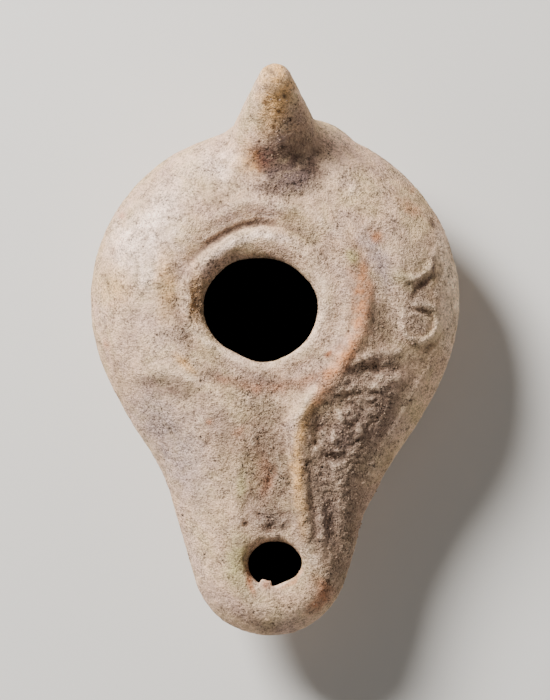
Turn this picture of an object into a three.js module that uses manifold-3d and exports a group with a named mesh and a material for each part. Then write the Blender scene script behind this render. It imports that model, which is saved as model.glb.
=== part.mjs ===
// A Roman oil lamp of fired clay, pressed in two moulds, closed into one hollow body.
// Millimetres, +Z up, +Y toward the handle, -Y toward the nozzle.
// The origin is the middle of the foot's underside.
import * as THREE from 'three';
import { mergeVertices } from 'three/addons/utils/BufferGeometryUtils.js';
import Module from 'manifold-3d';

const wasm = await Module();
wasm.setup();

// Sizes of the body and the nozzle
const BODY_WIDTH = 62.2;
const BACK_DEPTH = 29.6; // middle of the foot to the body's rear edge
const NOZZLE_REACH = 56.5; // middle of the foot to the nozzle's tip
const NOZZLE_WIDTH = 26.4; // across the nozzle's round end
const NOZZLE_SWAY = -0.9; // the nozzle's end sits a little to the left
const NECK_BLEND = 6.6; // softness of the hollow between body and nozzle
const REAR_SWELL = 1.7; // the rear edge bulges to the right of the handle
const REAR_SWELL_X = 7.6;
const REAR_DENT = 0.35; // and is a little flat to the left of it
const REAR_DENT_X = -11.5;
const REAR_REACH = 7.5; // how far the swelling and the dent spread
const FLANK_DENT = 0.6; // the nozzle's right side is pressed in a little
const FLANK_DENT_X = 15.1;
const FLANK_DENT_Y = -37;
const FLANK_REACH = 6.5; // how far that dent spreads
const SEAM_HEIGHT = 15; // where the two halves meet, the widest level
const SEAM_LIFT = 1.5; // rise of the seam toward the nozzle's tip
const TOP_HEIGHT = 27; // the flat top around the disc
const NOZZLE_DROP = 3.5; // fall of the top toward the nozzle's tip
const WALL = 3.2;
const FLOOR = 3.4;

// Sizes of the foot
const FOOT_DIAMETER = 30;
const FOOT_HEIGHT = 1.2;
const FOOT_RING_INNER = 22; // diameter of the flat inside the foot's groove
const FOOT_RING_WIDTH = 1.6; // width of that groove
const FOOT_RING_DEPTH = 0.6;

// Sizes of the disc, its ridge, the channel and the two holes
const DISC_DIAMETER = 34; // across the crest of the ridge
const DISC_OFFSET_X = -1.9;
const DISC_OFFSET_Y = -0.2;
const DISC_SINK = 0.5;
const RIDGE_WIDTH = 3.4;
const RIDGE_HEIGHT = 1.1;
const RIDGE_LAND = 0.35; // narrow level strip between the ridge and what it frames
const GROOVE_INSET = 3.6; // from the ridge's crest in to the groove's bottom
const GROOVE_COVE = 2.2; // the groove's gentle outer side
const GROOVE_STEP = 1.1; // and its steep inner side
const GROOVE_DEPTH = 0.75;
const FILL_WIDTH = 18.3;
const FILL_LENGTH = 17.1;
const FILL_OFFSET_X = -0.4; // from the disc's middle
const FILL_OFFSET_Y = -1.9;
const RIM_INSET = 2.3; // from the filling hole's edge out to its rim's crest
const RIM_WIDTH = 3.4;
const RIM_HEIGHT = 0.7;
const CHANNEL_WIDTH = 9; // crest to crest at the neck
const CHANNEL_MOUTH_X = 0.5; // from the disc's middle
const CHANNEL_END_WIDTH = 12.2; // crest to crest beside the wick hole
const CHANNEL_END_X = -0.5; // from the wick hole's middle
const CHANNEL_END_Y = 1;
const CHANNEL_SINK = 0.7;
const WICK_WIDTH = 8.6;
const WICK_LENGTH = 7.3;
const WICK_OFFSET_X = 1; // from the nozzle's middle line
const WICK_SETBACK = 12.15; // nozzle's tip to the middle of the wick hole
const BOWL_WIDTH = 13.6; // the dip around the wick hole
const BOWL_DEPTH = 1.2;
const BOWL_OFFSET_X = 1.3; // from the wick hole's middle
const BOWL_OFFSET_Y = -1.6;
const HOLE_SLANT = 0.8; // both holes were pierced at a slant, wider toward the upper left
const HOLE_FLARE = 1.1;
const FILL_FLAT = { bearing: 236, share: 0.1 }; // the filling hole is flattened at the lower left
const WICK_FLAT = { bearing: -60, share: 0.12 }; // and the wick hole at the lower right
const FLAT_SPREAD = 54; // degrees to each side that a flat reaches

// Sizes of the handle, a solid upright cone that leans back
const HANDLE_LENGTH = 20.5; // between the middles of its two round ends
const HANDLE_LEAN = 54; // degrees above level
const HANDLE_FOOT = 17.6; // diameter at the body
const HANDLE_TIP = 5.6; // diameter at the tip
const HANDLE_FLARE = 1.2; // swelling where it grows out of the shoulder
const HANDLE_INSET = 6; // from the body's rear edge in to the middle of its foot
const HANDLE_START = 17; // height of the middle of its foot

// Sizes of the ornament's strokes, which each stroke takes a share of
const STROKE_WIDTH = 2;
const STROKE_HEIGHT = 0.7;
const BORDER_INSET = 3; // from the outline in to the border ridge

// Shares that shape the free curves
const NECK_PLACE = 0.455; // middle of the neck, as a share of the body's radius
const NECK_SIZE = 0.708; // radius of the neck, the same way
const SHOULDER_OUT = 1.9;
const SHOULDER_UP = 1.7;
const BELLY_OUT = 1.6;
const BELLY_DOWN = 1.8;
const CHANNEL_BLEND = 0.3; // softness where channel meets disc, of the disc's radius
const CHANNEL_MOUTH = 0.88; // where the channel starts, of the disc's radius
const FALL_START = 0.27; // where the top starts to fall toward the tip, of the nozzle's reach
const FALL_END = 0.8;
const WORN_LEFT = 0.2; // what is left of the ridge on the rubbed left side
const WORN_TOP = 0.55; // and on the side toward the handle
const WORN_RIM = 0.3; // what is left of the rim at the lower right
const GROOVE_LEFT = 0.1; // what is left of the groove away from the upper left
const BASE_INSET = 0.6; // how far the hollow's flat floor is drawn in, of the wall
const LOOP_INSET = 0.37; // the channel's innermost row of points, of its width
const FLARE_PLACE = 0.24; // middle of the handle's swelling, of its length
const FLARE_REACH = 0.8; // and half its reach

// Fineness of the mesh
const OUTER_SPOKES = 78;
const INNER_SPOKES = 36;
const LOWER_STEPS = 8;
const UPPER_STEPS = 10;
const DISC_SIDES = 48;
const CHANNEL_STEPS = 6;
const HOLE_SIDES = 36;
const HANDLE_SIDES = 22;
const HANDLE_STEPS = 4;
const BEAD_SIDES = 6;
const LUMP_SIDES = 10;
const LUMP_STEPS = 5;
const NUDGE = 0.01; // step for measuring slopes
const STRIDE = 0.5; // longer step for the direction that a stroke stands on
const SETTLE_ROUNDS = 8;
const OUTLINE_SAMPLES = 360;

// Places worked out from the sizes
const bodyRadius = BODY_WIDTH / 2;
const footRadius = FOOT_DIAMETER / 2;
const nozzleRadius = NOZZLE_WIDTH / 2;
const discRadius = DISC_DIAMETER / 2;
const rimRadius = (FILL_WIDTH + FILL_LENGTH) / 4 + RIM_INSET;
const neckMiddle = new THREE.Vector2(0, -NECK_PLACE * bodyRadius);
const nozzleMiddle = new THREE.Vector2(NOZZLE_SWAY, nozzleRadius - NOZZLE_REACH);
const discMiddle = new THREE.Vector2(DISC_OFFSET_X, DISC_OFFSET_Y);
const fillMiddle = new THREE.Vector2(DISC_OFFSET_X + FILL_OFFSET_X, DISC_OFFSET_Y + FILL_OFFSET_Y);
const wickMiddle = new THREE.Vector2(NOZZLE_SWAY + WICK_OFFSET_X, WICK_SETBACK - NOZZLE_REACH);
const channelStart = new THREE.Vector2(CHANNEL_MOUTH_X, -CHANNEL_MOUTH * discRadius).add(discMiddle);
const channelEnd = new THREE.Vector2(CHANNEL_END_X, CHANNEL_END_Y).add(wickMiddle);
const bowlMiddle = new THREE.Vector2(BOWL_OFFSET_X, BOWL_OFFSET_Y).add(wickMiddle);
const { clamp, lerp, smoothstep, degToRad } = THREE.MathUtils;

// Distances in plan, negative inside

/** Joins two distances with a soft hollow between them. */
function smoothMin(a, b, size) {
  const overlap = Math.max(size - Math.abs(a - b), 0) / size;
  return Math.min(a, b) - overlap * overlap * size / 4;
}

/** Distance to the hull of two circles. */
function taperDistance(x, y, from, fromRadius, to, toRadius) {
  const length = from.distanceTo(to);
  const ux = (to.x - from.x) / length;
  const uy = (to.y - from.y) / length;
  const along = (x - from.x) * ux + (y - from.y) * uy;
  const side = Math.abs((x - from.x) * uy - (y - from.y) * ux);
  const sine = (fromRadius - toRadius) / length;
  const cosine = Math.sqrt(1 - sine * sine);
  const slant = along * cosine - side * sine;
  if (slant < 0) return Math.hypot(along, side) - fromRadius;
  if (slant > cosine * length) return Math.hypot(along - length, side) - toRadius;
  return side * cosine + along * sine - fromRadius;
}

/** A round bump of height 1 at 0 that ends at -1 and 1. */
function bump(t) {
  return Math.abs(t) < 1 ? (1 - t * t) ** 2 : 0;
}

/** A round spot of height 1 on the body's rear edge, at a distance across from its middle. */
function rearSpot(x, y, across) {
  const back = BACK_DEPTH * Math.sqrt(1 - (across / bodyRadius) ** 2);
  return bump(Math.hypot(x - across, y - back) / REAR_REACH);
}

/** Distance to the lamp's outline: a round body run into a long nozzle. */
function outlineDistance(x, y) {
  const flattened = y > 0 ? y * bodyRadius / BACK_DEPTH : y;
  const uneven = REAR_SWELL * rearSpot(x, y, REAR_SWELL_X) - REAR_DENT * rearSpot(x, y, REAR_DENT_X);
  const body = Math.hypot(x, flattened) - bodyRadius - uneven;
  const nozzle = taperDistance(x, y, neckMiddle, NECK_SIZE * bodyRadius, nozzleMiddle, nozzleRadius);
  const flank = bump(Math.hypot(x - FLANK_DENT_X, y - FLANK_DENT_Y) / FLANK_REACH);
  return smoothMin(body, nozzle, NECK_BLEND) + FLANK_DENT * flank;
}

/** Distance to the keyhole that the ridge draws round the disc and the channel. */
function keyholeDistance(x, y) {
  const disc = Math.hypot(x - discMiddle.x, y - discMiddle.y) - discRadius;
  const channel = taperDistance(x, y, channelStart, CHANNEL_WIDTH / 2, channelEnd, CHANNEL_END_WIDTH / 2);
  return smoothMin(disc, channel, CHANNEL_BLEND * discRadius);
}

/** How far in from the outline a point is, as a share of the way to the ridge. */
function shoulderShare(x, y, inset) {
  const inside = Math.max(-outlineDistance(x, y) - inset, 0);
  const outside = Math.max(keyholeDistance(x, y), 0);
  return outside > 0 ? inside / (inside + outside) : 1;
}

// Heights of the two halves

/** The change of level from the body to the nozzle's tip, from 0 to 1. */
function towardTip(y) {
  return smoothstep(-y, FALL_START * NOZZLE_REACH, FALL_END * NOZZLE_REACH);
}

function seamHeight(y) {
  return SEAM_HEIGHT + SEAM_LIFT * towardTip(y);
}

function plateauHeight(y) {
  return TOP_HEIGHT - NOZZLE_DROP * towardTip(y);
}

/** What is left of the ridge, least at the left and along the channel's left side. */
function ridgeLeft(dx, dy) {
  const rubbed = dx * (1 + Math.max(-dy, 0) / discRadius) + Math.max(dy, 0) / 2;
  const rearward = lerp(1, WORN_TOP, smoothstep(dy, discRadius / 3, discRadius));
  return rearward * lerp(WORN_LEFT, 1, smoothstep(rubbed, -discRadius / 2, discRadius / 3));
}

/** Raised and sunk forms of the disc, the ridge, the channel and the bowl. */
function relief(x, y) {
  const ridgeDistance = keyholeDistance(x, y);
  const dx = x - discMiddle.x;
  const dy = y - discMiddle.y;
  const reach = Math.hypot(dx, dy);
  const upperLeft = (dy - dx) / discRadius; // under 0 toward the lower right
  const ridge = RIDGE_HEIGHT * ridgeLeft(dx, dy) * bump(ridgeDistance / (RIDGE_WIDTH / 2));
  const toGroove = reach - discRadius + GROOVE_INSET;
  const grooveProfile = bump(toGroove / (toGroove > 0 ? GROOVE_COVE : GROOVE_STEP));
  const groove = GROOVE_DEPTH * lerp(GROOVE_LEFT, 1, smoothstep(upperLeft, 0, 1)) * grooveProfile;
  const rimFade = lerp(WORN_RIM, 1, smoothstep(upperLeft, -1, 0.5));
  const rim = RIM_HEIGHT * rimFade * bump((reach - rimRadius) / (RIM_WIDTH / 2));
  const discSink = DISC_SINK * smoothstep(discRadius - reach, 0, RIDGE_WIDTH);
  const inChannel = smoothstep(reach, discRadius - RIDGE_WIDTH, discRadius + RIDGE_WIDTH);
  const channelSink = CHANNEL_SINK * inChannel * smoothstep(-ridgeDistance, 0, CHANNEL_WIDTH / 2);
  const bowl = BOWL_DEPTH * bump(Math.hypot(x - bowlMiddle.x, y - bowlMiddle.y) / (BOWL_WIDTH / 2));
  return ridge + rim - groove - discSink - channelSink - bowl;
}

/** Height of the moulded top outside, or of the hollow's ceiling when inset by the wall. */
function upperHeight(x, y, shell) {
  const share = shoulderShare(x, y, shell.inset);
  const rise = plateauHeight(y) - shell.inset - seamHeight(y);
  const curve = (1 - (1 - share) ** SHOULDER_OUT) ** (1 / SHOULDER_UP);
  const carved = shell.inset > 0 ? 0 : relief(x, y);
  return seamHeight(y) + rise * curve + carved;
}

/** Height of the underside outside, or of the hollow's floor when inset by the wall. */
function lowerHeight(x, y, shell) {
  const inside = Math.max(-outlineDistance(x, y) - shell.inset, 0);
  const outside = Math.max(Math.hypot(x, y) - shell.baseRadius, 0);
  const share = outside > 0 ? outside / (outside + inside) : 0;
  const drop = seamHeight(y) - shell.base;
  return seamHeight(y) - drop * (1 - share ** BELLY_OUT) ** (1 / BELLY_DOWN);
}

const OUTSIDE = { inset: 0, base: FOOT_HEIGHT, baseRadius: footRadius };
const INSIDE = { inset: WALL, base: FOOT_HEIGHT + FLOOR, baseRadius: footRadius - BASE_INSET * WALL };

// Rings and skins

/** Moves a plan point along a field's slope until the field reads the wanted level. */
function settle(point, field, level) {
  const moved = point.clone();
  for (let step = 0; step < SETTLE_ROUNDS; step++) {
    const { x, y } = moved;
    const slopeX = (field(x + NUDGE, y) - field(x - NUDGE, y)) / (2 * NUDGE);
    const slopeY = (field(x, y + NUDGE) - field(x, y - NUDGE)) / (2 * NUDGE);
    const move = (level - field(x, y)) / (slopeX * slopeX + slopeY * slopeY);
    moved.set(x + slopeX * move, y + slopeY * move);
  }
  return moved;
}

/** Evenly spaced plan points round the outline, counter-clockwise, drawn in by an inset. */
function outlinePoints(count, inset) {
  const loop = [];
  for (let i = 0; i < OUTLINE_SAMPLES; i++) {
    const bearing = Math.PI / 2 + i / OUTLINE_SAMPLES * 2 * Math.PI;
    let near = 0;
    let far = 2 * NOZZLE_REACH;
    while (far - near > NUDGE / 10) {
      const middle = (near + far) / 2;
      const distance = outlineDistance(middle * Math.cos(bearing), middle * Math.sin(bearing));
      if (distance < -inset) near = middle;
      else far = middle;
    }
    loop.push(new THREE.Vector3(near * Math.cos(bearing), near * Math.sin(bearing), 0));
  }
  const curve = new THREE.CatmullRomCurve3(loop, true);
  curve.arcLengthDivisions = 4 * OUTLINE_SAMPLES;
  return curve.getSpacedPoints(count).slice(0, count).map((p) => new THREE.Vector2(p.x, p.y));
}

// Skins are lists of points, three to a triangle, counter-clockwise seen from outside

/** Triangles between two rings with the same count of points. */
function strip(from, to) {
  const triangles = [];
  for (let i = 0; i < from.length; i++) {
    const next = (i + 1) % from.length;
    triangles.push(from[i], from[next], to[next], from[i], to[next], to[i]);
  }
  return triangles;
}

/** Strips from each ring to the next. */
function row(rings) {
  return rings.slice(1).flatMap((ring, i) => strip(rings[i], ring));
}

/** Triangles that close a ring as a plain fan, facing onward. */
function fan(ring) {
  return ring.slice(1, -1).flatMap((p, i) => [ring[0], p, ring[i + 2]]);
}

/** Triangles that fill a ring seen from above, less the rings inside it. */
function fill(ring, holes = []) {
  const flat = (p) => new THREE.Vector2(p.x, p.y);
  const corners = [ring, ...holes].flat();
  const faces = THREE.ShapeUtils.triangulateShape(ring.map(flat), holes.map((hole) => hole.map(flat)));
  return faces.flat().map((corner) => corners[corner]);
}

/** A row of rings closed by a fan at each end. */
function closedRow(rings) {
  return [...fan(rings[0]).reverse(), ...row(rings), ...fan(rings.at(-1))];
}

/** A level circle with one point for each spoke, in the direction of that spoke. */
function circleRing(spokes, radius, height) {
  return spokes.map((spoke) => {
    const bearing = spoke.angle();
    return new THREE.Vector3(radius * Math.cos(bearing), radius * Math.sin(bearing), height);
  });
}

/** Rings from the base circle out to the seam, closer together where the belly curves more. */
function lowerRings(spokes, shell) {
  const rings = [];
  for (let step = 0; step < LOWER_STEPS; step++) {
    const turn = (1 - step / LOWER_STEPS) * Math.PI / 2;
    const share = Math.cos(turn) ** (2 / BELLY_OUT);
    rings.push(spokes.map((spoke) => {
      const base = spoke.clone().setLength(shell.baseRadius);
      const p = base.lerp(spoke, share);
      return new THREE.Vector3(p.x, p.y, lowerHeight(p.x, p.y, shell));
    }));
  }
  return rings;
}

/** Rings from the seam up over the shoulder to the crest of the ridge. */
function upperRings(spokes, shell, steps) {
  const shares = [];
  for (let step = 0; step < steps; step++) {
    shares.push(1 - Math.cos(step / steps * Math.PI / 2) ** (2 / SHOULDER_OUT));
  }
  shares.push((1 + shares.at(-1)) / 2);
  const field = (x, y) => shoulderShare(x, y, shell.inset);
  const rings = [];
  let points = spokes;
  for (const share of shares) {
    if (share > 0) points = points.map((p) => settle(p, field, share));
    rings.push(points);
  }
  rings.push(points.map((p) => settle(p, keyholeDistance, 0)));
  return rings.map((ring) => ring.map((p) => new THREE.Vector3(p.x, p.y, upperHeight(p.x, p.y, shell))));
}

/** Plan points lifted to the moulded top. */
function onTop(points) {
  return points.map((p) => new THREE.Vector3(p.x, p.y, upperHeight(p.x, p.y, OUTSIDE)));
}

/** A circle of plan points, counter-clockwise. */
function circlePoints(middle, radius, count) {
  const points = [];
  for (let i = 0; i < count; i++) {
    const bearing = i / count * 2 * Math.PI;
    points.push(new THREE.Vector2(radius * Math.cos(bearing), radius * Math.sin(bearing)).add(middle));
  }
  return points;
}

/** Plan points round the hull of two circles, counter-clockwise, with rows of points on its sides. */
function taperPoints(from, fromRadius, to, toRadius, sideSteps, arcSteps) {
  const heading = Math.atan2(to.y - from.y, to.x - from.x);
  const points = [];
  for (const [start, startRadius, end, endRadius, turn] of [
    [from, fromRadius, to, toRadius, heading - Math.PI / 2],
    [to, toRadius, from, fromRadius, heading + Math.PI / 2],
  ]) {
    for (let i = 0; i < sideSteps; i++) {
      const radius = lerp(startRadius, endRadius, i / sideSteps);
      const p = start.clone().lerp(end, i / sideSteps);
      points.push(p.add(new THREE.Vector2(radius * Math.cos(turn), radius * Math.sin(turn))));
    }
    for (let i = 0; i < arcSteps; i++) {
      const bearing = turn + i / arcSteps * Math.PI;
      const reach = new THREE.Vector2(endRadius * Math.cos(bearing), endRadius * Math.sin(bearing));
      points.push(end.clone().add(reach));
    }
  }
  return points;
}

/** Rings that run down the inner side of the ridge, from its crest. */
function ridgeRings(crest) {
  let points = crest.map((p) => new THREE.Vector2(p.x, p.y));
  return [RIDGE_WIDTH / 4, RIDGE_WIDTH / 2].map((inset) => {
    points = points.map((p) => settle(p, keyholeDistance, -inset));
    return onTop(points);
  });
}

/** Rings over the disc, from the foot of the ridge in to the middle of the filling hole. */
function discRings() {
  const groove = discRadius - GROOVE_INSET;
  const radii = [
    discRadius - RIDGE_WIDTH / 2 - RIDGE_LAND,
    groove,
    (groove + rimRadius) / 2,
    rimRadius,
    rimRadius - RIM_WIDTH / 2,
    FILL_WIDTH / 3,
  ];
  return radii.map((radius) => onTop(circlePoints(discMiddle, radius, DISC_SIDES)));
}

/** Rings over the channel, from the foot of the ridge in to its middle line. */
function channelRings() {
  const insets = [RIDGE_WIDTH / 2 + RIDGE_LAND, LOOP_INSET * CHANNEL_WIDTH];
  return insets.map((inset) => {
    const start = discMiddle.clone().sub(channelEnd).setLength(inset - discRadius - CHANNEL_WIDTH / 2);
    const mouth = discMiddle.clone().add(start);
    const ends = [CHANNEL_WIDTH / 2 - inset, CHANNEL_END_WIDTH / 2 - inset];
    return onTop(taperPoints(mouth, ends[0], channelEnd, ends[1], CHANNEL_STEPS, CHANNEL_STEPS));
  });
}

/** The rings of the foot, from the flat inside its groove out to its edge. */
function footRings(spokes) {
  const inner = FOOT_RING_INNER / 2;
  const slope = FOOT_RING_WIDTH / 4;
  return [
    circleRing(spokes, inner, 0),
    circleRing(spokes, inner + slope, FOOT_RING_DEPTH),
    circleRing(spokes, inner + FOOT_RING_WIDTH - slope, FOOT_RING_DEPTH),
    circleRing(spokes, inner + FOOT_RING_WIDTH, 0),
    circleRing(spokes, footRadius - FOOT_HEIGHT / 3, 0),
    circleRing(spokes, footRadius, FOOT_HEIGHT / 2),
  ];
}

/** The lamp's outer skin, from the foot up over the shoulder to the disc and the channel. */
function outerSkin() {
  const spokes = outlinePoints(OUTER_SPOKES, 0);
  const foot = footRings(spokes);
  const sides = [...foot, ...lowerRings(spokes, OUTSIDE), ...upperRings(spokes, OUTSIDE, UPPER_STEPS)];
  sides.push(...ridgeRings(sides.at(-1)));
  const disc = discRings();
  const channel = channelRings();
  return [
    ...fan(foot[0]).reverse(),
    ...row(sides),
    ...fill(sides.at(-1), [disc[0], channel[0]]),
    ...row(disc),
    ...fan(disc.at(-1)),
    ...row(channel),
    ...fill(channel.at(-1)),
  ];
}

/** The hollow inside, which follows the outside at the wall's thickness. */
function hollowSkin() {
  const spokes = outlinePoints(INNER_SPOKES, WALL);
  const rings = [...lowerRings(spokes, INSIDE), ...upperRings(spokes, INSIDE, UPPER_STEPS / 2)];
  return [...fan(rings[0]).reverse(), ...row(rings), ...fill(rings.at(-1))];
}

// The handle

/** A cone with round ends, wider where it joins the shoulder, leaned back from upright. */
function handleSkin() {
  const footEnd = HANDLE_FOOT / 2;
  const tipEnd = HANDLE_TIP / 2;
  const tilt = Math.asin((footEnd - tipEnd) / HANDLE_LENGTH);
  const profile = [];
  for (let i = 1; i <= HANDLE_STEPS; i++) {
    const turn = lerp(-Math.PI / 2, tilt, i / HANDLE_STEPS);
    profile.push([footEnd * Math.cos(turn), footEnd * Math.sin(turn)]);
  }
  for (let i = 1; i < HANDLE_STEPS; i++) {
    const share = i / HANDLE_STEPS;
    const size = lerp(footEnd, tipEnd, share);
    const flare = HANDLE_FLARE * bump((share - FLARE_PLACE) / FLARE_REACH);
    profile.push([size * Math.cos(tilt) + flare, HANDLE_LENGTH * share + size * Math.sin(tilt)]);
  }
  for (let i = 0; i < HANDLE_STEPS; i++) {
    const turn = lerp(tilt, Math.PI / 2, i / HANDLE_STEPS);
    profile.push([tipEnd * Math.cos(turn), HANDLE_LENGTH + tipEnd * Math.sin(turn)]);
  }
  const pose = new THREE.Matrix4().makeRotationX(degToRad(HANDLE_LEAN - 90));
  pose.setPosition(0, BACK_DEPTH - HANDLE_INSET, HANDLE_START);
  const rings = profile.map(([radius, height]) => {
    const circle = circlePoints(new THREE.Vector2(), radius, HANDLE_SIDES);
    return circle.map((p) => new THREE.Vector3(p.x, p.y, height).applyMatrix4(pose));
  });
  return closedRow(rings);
}

// The two holes

/** The slanted plug that opens a hole through the top. */
function holePlug(middle, width, length, flat) {
  const levels = [
    { height: seamHeight(middle.y) + WALL / 4, shift: 0, flare: 1 },
    { height: plateauHeight(middle.y) + WALL, shift: HOLE_SLANT, flare: HOLE_FLARE },
  ];
  const flatBearing = degToRad(flat.bearing);
  const rings = levels.map(({ height, shift, flare }) => {
    const ring = [];
    for (let i = 0; i < HOLE_SIDES; i++) {
      const bearing = i / HOLE_SIDES * 2 * Math.PI;
      const away = Math.acos(clamp(Math.cos(bearing - flatBearing), -1, 1));
      const size = flare * (1 - flat.share * bump(away / degToRad(FLAT_SPREAD)));
      ring.push(new THREE.Vector3(
        middle.x - shift + size * width / 2 * Math.cos(bearing),
        middle.y + shift + size * length / 2 * Math.sin(bearing),
        height,
      ));
    }
    return ring;
  });
  return closedRow(rings);
}

// Ornament on the shoulder, placed by shares of the lamp's own width and reach

/** A plan point from its shares of the half width and of the reach to nozzle or back. */
function spot(across, along) {
  const depth = along < 0 ? NOZZLE_REACH : BACK_DEPTH;
  return new THREE.Vector2(across * bodyRadius, along * depth);
}

/** Height and outward direction of the top at a plan point. */
function surfaceAt(p) {
  const height = (x, y) => upperHeight(x, y, OUTSIDE);
  const z = height(p.x, p.y);
  const slopeX = (height(p.x + STRIDE, p.y) - height(p.x - STRIDE, p.y)) / (2 * STRIDE);
  const slopeY = (height(p.x, p.y + STRIDE) - height(p.x, p.y - STRIDE)) / (2 * STRIDE);
  const outward = new THREE.Vector3(-slopeX, -slopeY, 1).normalize();
  return { place: new THREE.Vector3(p.x, p.y, z), outward };
}

/** A half-buried roll along a plan path, thick in the middle and thin at both ends. */
function bead(path, wide, high) {
  const width = wide * STROKE_WIDTH;
  const height = high * STROKE_HEIGHT;
  const seats = path.map(surfaceAt);
  const rings = seats.map(({ place, outward }, i) => {
    const before = seats[Math.max(i - 1, 0)].place;
    const after = seats[Math.min(i + 1, seats.length - 1)].place;
    const sideways = new THREE.Vector3().crossVectors(outward, after.clone().sub(before)).normalize();
    const fullness = lerp(1 / 4, 1, Math.sqrt(Math.sin(Math.PI * (i + 0.5) / seats.length)));
    const ring = [];
    for (let k = 0; k < BEAD_SIDES; k++) {
      const turn = (k + 0.5) / BEAD_SIDES * 2 * Math.PI;
      ring.push(place.clone()
        .addScaledVector(sideways, Math.cos(turn) * fullness * width / 2)
        .addScaledVector(outward, Math.sin(turn) * fullness * height));
    }
    return ring;
  });
  return closedRow(rings);
}

/** Plan points along a straight or bowed line between two spots. */
function linePath(from, to, bow, steps) {
  const across = new THREE.Vector2(from.y - to.y, to.x - from.x);
  const path = [];
  for (let i = 0; i <= steps; i++) {
    const share = i / steps;
    const p = from.clone().lerp(to, share);
    path.push(p.addScaledVector(across, bow * Math.sin(Math.PI * share)));
  }
  return path;
}

/** Plan points along an arc, its angles in degrees from +X. */
function arcPath(middle, radius, from, to, steps) {
  const path = [];
  for (let i = 0; i <= steps; i++) {
    const turn = degToRad(lerp(from, to, i / steps));
    path.push(new THREE.Vector2(radius * Math.cos(turn), radius * Math.sin(turn)).add(middle));
  }
  return path;
}

/** A low round lump, half buried in the top. */
function lump(p, wide, high) {
  const radius = wide * STROKE_WIDTH / 2;
  const height = high * STROKE_HEIGHT;
  const { place, outward } = surfaceAt(p);
  const turn = new THREE.Quaternion().setFromUnitVectors(new THREE.Vector3(0, 0, 1), outward);
  const rings = [];
  for (let i = 0; i < LUMP_STEPS; i++) {
    const rise = lerp(-Math.PI / 2, Math.PI / 2, (i + 0.5) / LUMP_STEPS);
    const circle = circlePoints(new THREE.Vector2(), radius * Math.cos(rise), LUMP_SIDES);
    rings.push(circle.map((q) => {
      const raised = new THREE.Vector3(q.x, q.y, height * Math.sin(rise));
      return raised.applyQuaternion(turn).add(place);
    }));
  }
  return closedRow(rings);
}

/** Plan points that run along the edge at a set distance inside it, on the right side. */
function borderPath(inset, from, to, steps) {
  const path = [];
  for (let i = 0; i <= steps; i++) {
    const start = spot(1, lerp(from, to, i / steps));
    let { x } = start;
    while (outlineDistance(x, start.y) > -inset) x -= NUDGE * 10;
    path.push(new THREE.Vector2(x, start.y));
  }
  return path;
}

/** Raised strokes of the right shoulder's scrolls, rosette and border, and traces on the left. */
function raisedOrnament() {
  return [
    bead(arcPath(spot(0.71, 0.26), 0.125 * bodyRadius, 240, 375, 7), 1, 1),
    bead(arcPath(spot(0.775, -0.067), 0.092 * bodyRadius, -150, 120, 10), 0.9, 1),
    bead(linePath(spot(0.445, -0.185), spot(0.645, -0.157), 0.06, 5), 1, 0.85),
    bead(linePath(spot(0.35, -0.273), spot(0.56, -0.26), 0.08, 5), 0.9, 0.7),
    bead(borderPath(BORDER_INSET, -0.12, -0.56, 12), 1, 0.65),
    bead(linePath(spot(0.23, -0.6), spot(0.255, -0.72), 0, 5), 0.8, 0.8),
    bead(linePath(spot(-0.66, -0.197), spot(-0.54, -0.22), 0, 4), 1, 0.55),
    lump(spot(0.355, -0.345), 1.7, 1.15),
    lump(spot(0.32, -0.412), 1.6, 1.15),
    lump(spot(0.5, 0.43), 1.7, 0.7),
    lump(spot(-0.395, -0.355), 1.9, 0.7),
  ];
}

/** Sunk strokes beside them. */
function sunkOrnament() {
  return [
    bead(linePath(spot(0.825, 0.11), spot(0.715, 0.03), -0.12, 4), 0.8, 0.9),
    bead(linePath(spot(0.915, -0.05), spot(0.775, -0.155), -0.15, 5), 0.8, 0.9),
    bead(linePath(spot(0.73, -0.025), spot(0.825, -0.043), 0, 4), 0.7, 0.9),
    bead(linePath(spot(0.38, -0.219), spot(0.66, -0.207), 0.06, 6), 1.4, 1.15),
    bead(arcPath(spot(0.35, -0.384), 0.145 * bodyRadius, 20, 80, 4), 0.8, 0.7),
    bead(arcPath(spot(0.35, -0.384), 0.14 * bodyRadius, 150, 290, 8), 0.9, 1),
    bead(linePath(spot(0.19, -0.585), spot(0.21, -0.72), 0, 6), 0.8, 0.85),
    bead(linePath(spot(0.29, -0.6), spot(0.296, -0.72), 0, 5), 0.8, 0.7),
    bead(linePath(spot(0.54, 0.355), spot(0.615, 0.3), 0, 4), 1.3, 0.85),
    bead(linePath(spot(-0.66, -0.243), spot(-0.37, -0.278), 0.05, 6), 0.9, 0.7),
  ];
}

// Joining and cutting

/** A closed skin as a solid for joining and cutting. */
function toSolid(triangles) {
  const merged = mergeVertices(new THREE.BufferGeometry().setFromPoints(triangles));
  return new wasm.Manifold(new wasm.Mesh({
    numProp: 3,
    vertProperties: merged.attributes.position.array,
    triVerts: merged.index.array,
  }));
}

/** A solid's triangles as a geometry. */
function toGeometry(solid) {
  const { vertProperties, triVerts } = solid.getMesh();
  const geometry = new THREE.BufferGeometry();
  geometry.setAttribute('position', new THREE.BufferAttribute(vertProperties, 3));
  geometry.setIndex(new THREE.BufferAttribute(triVerts, 1));
  return geometry;
}

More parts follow.
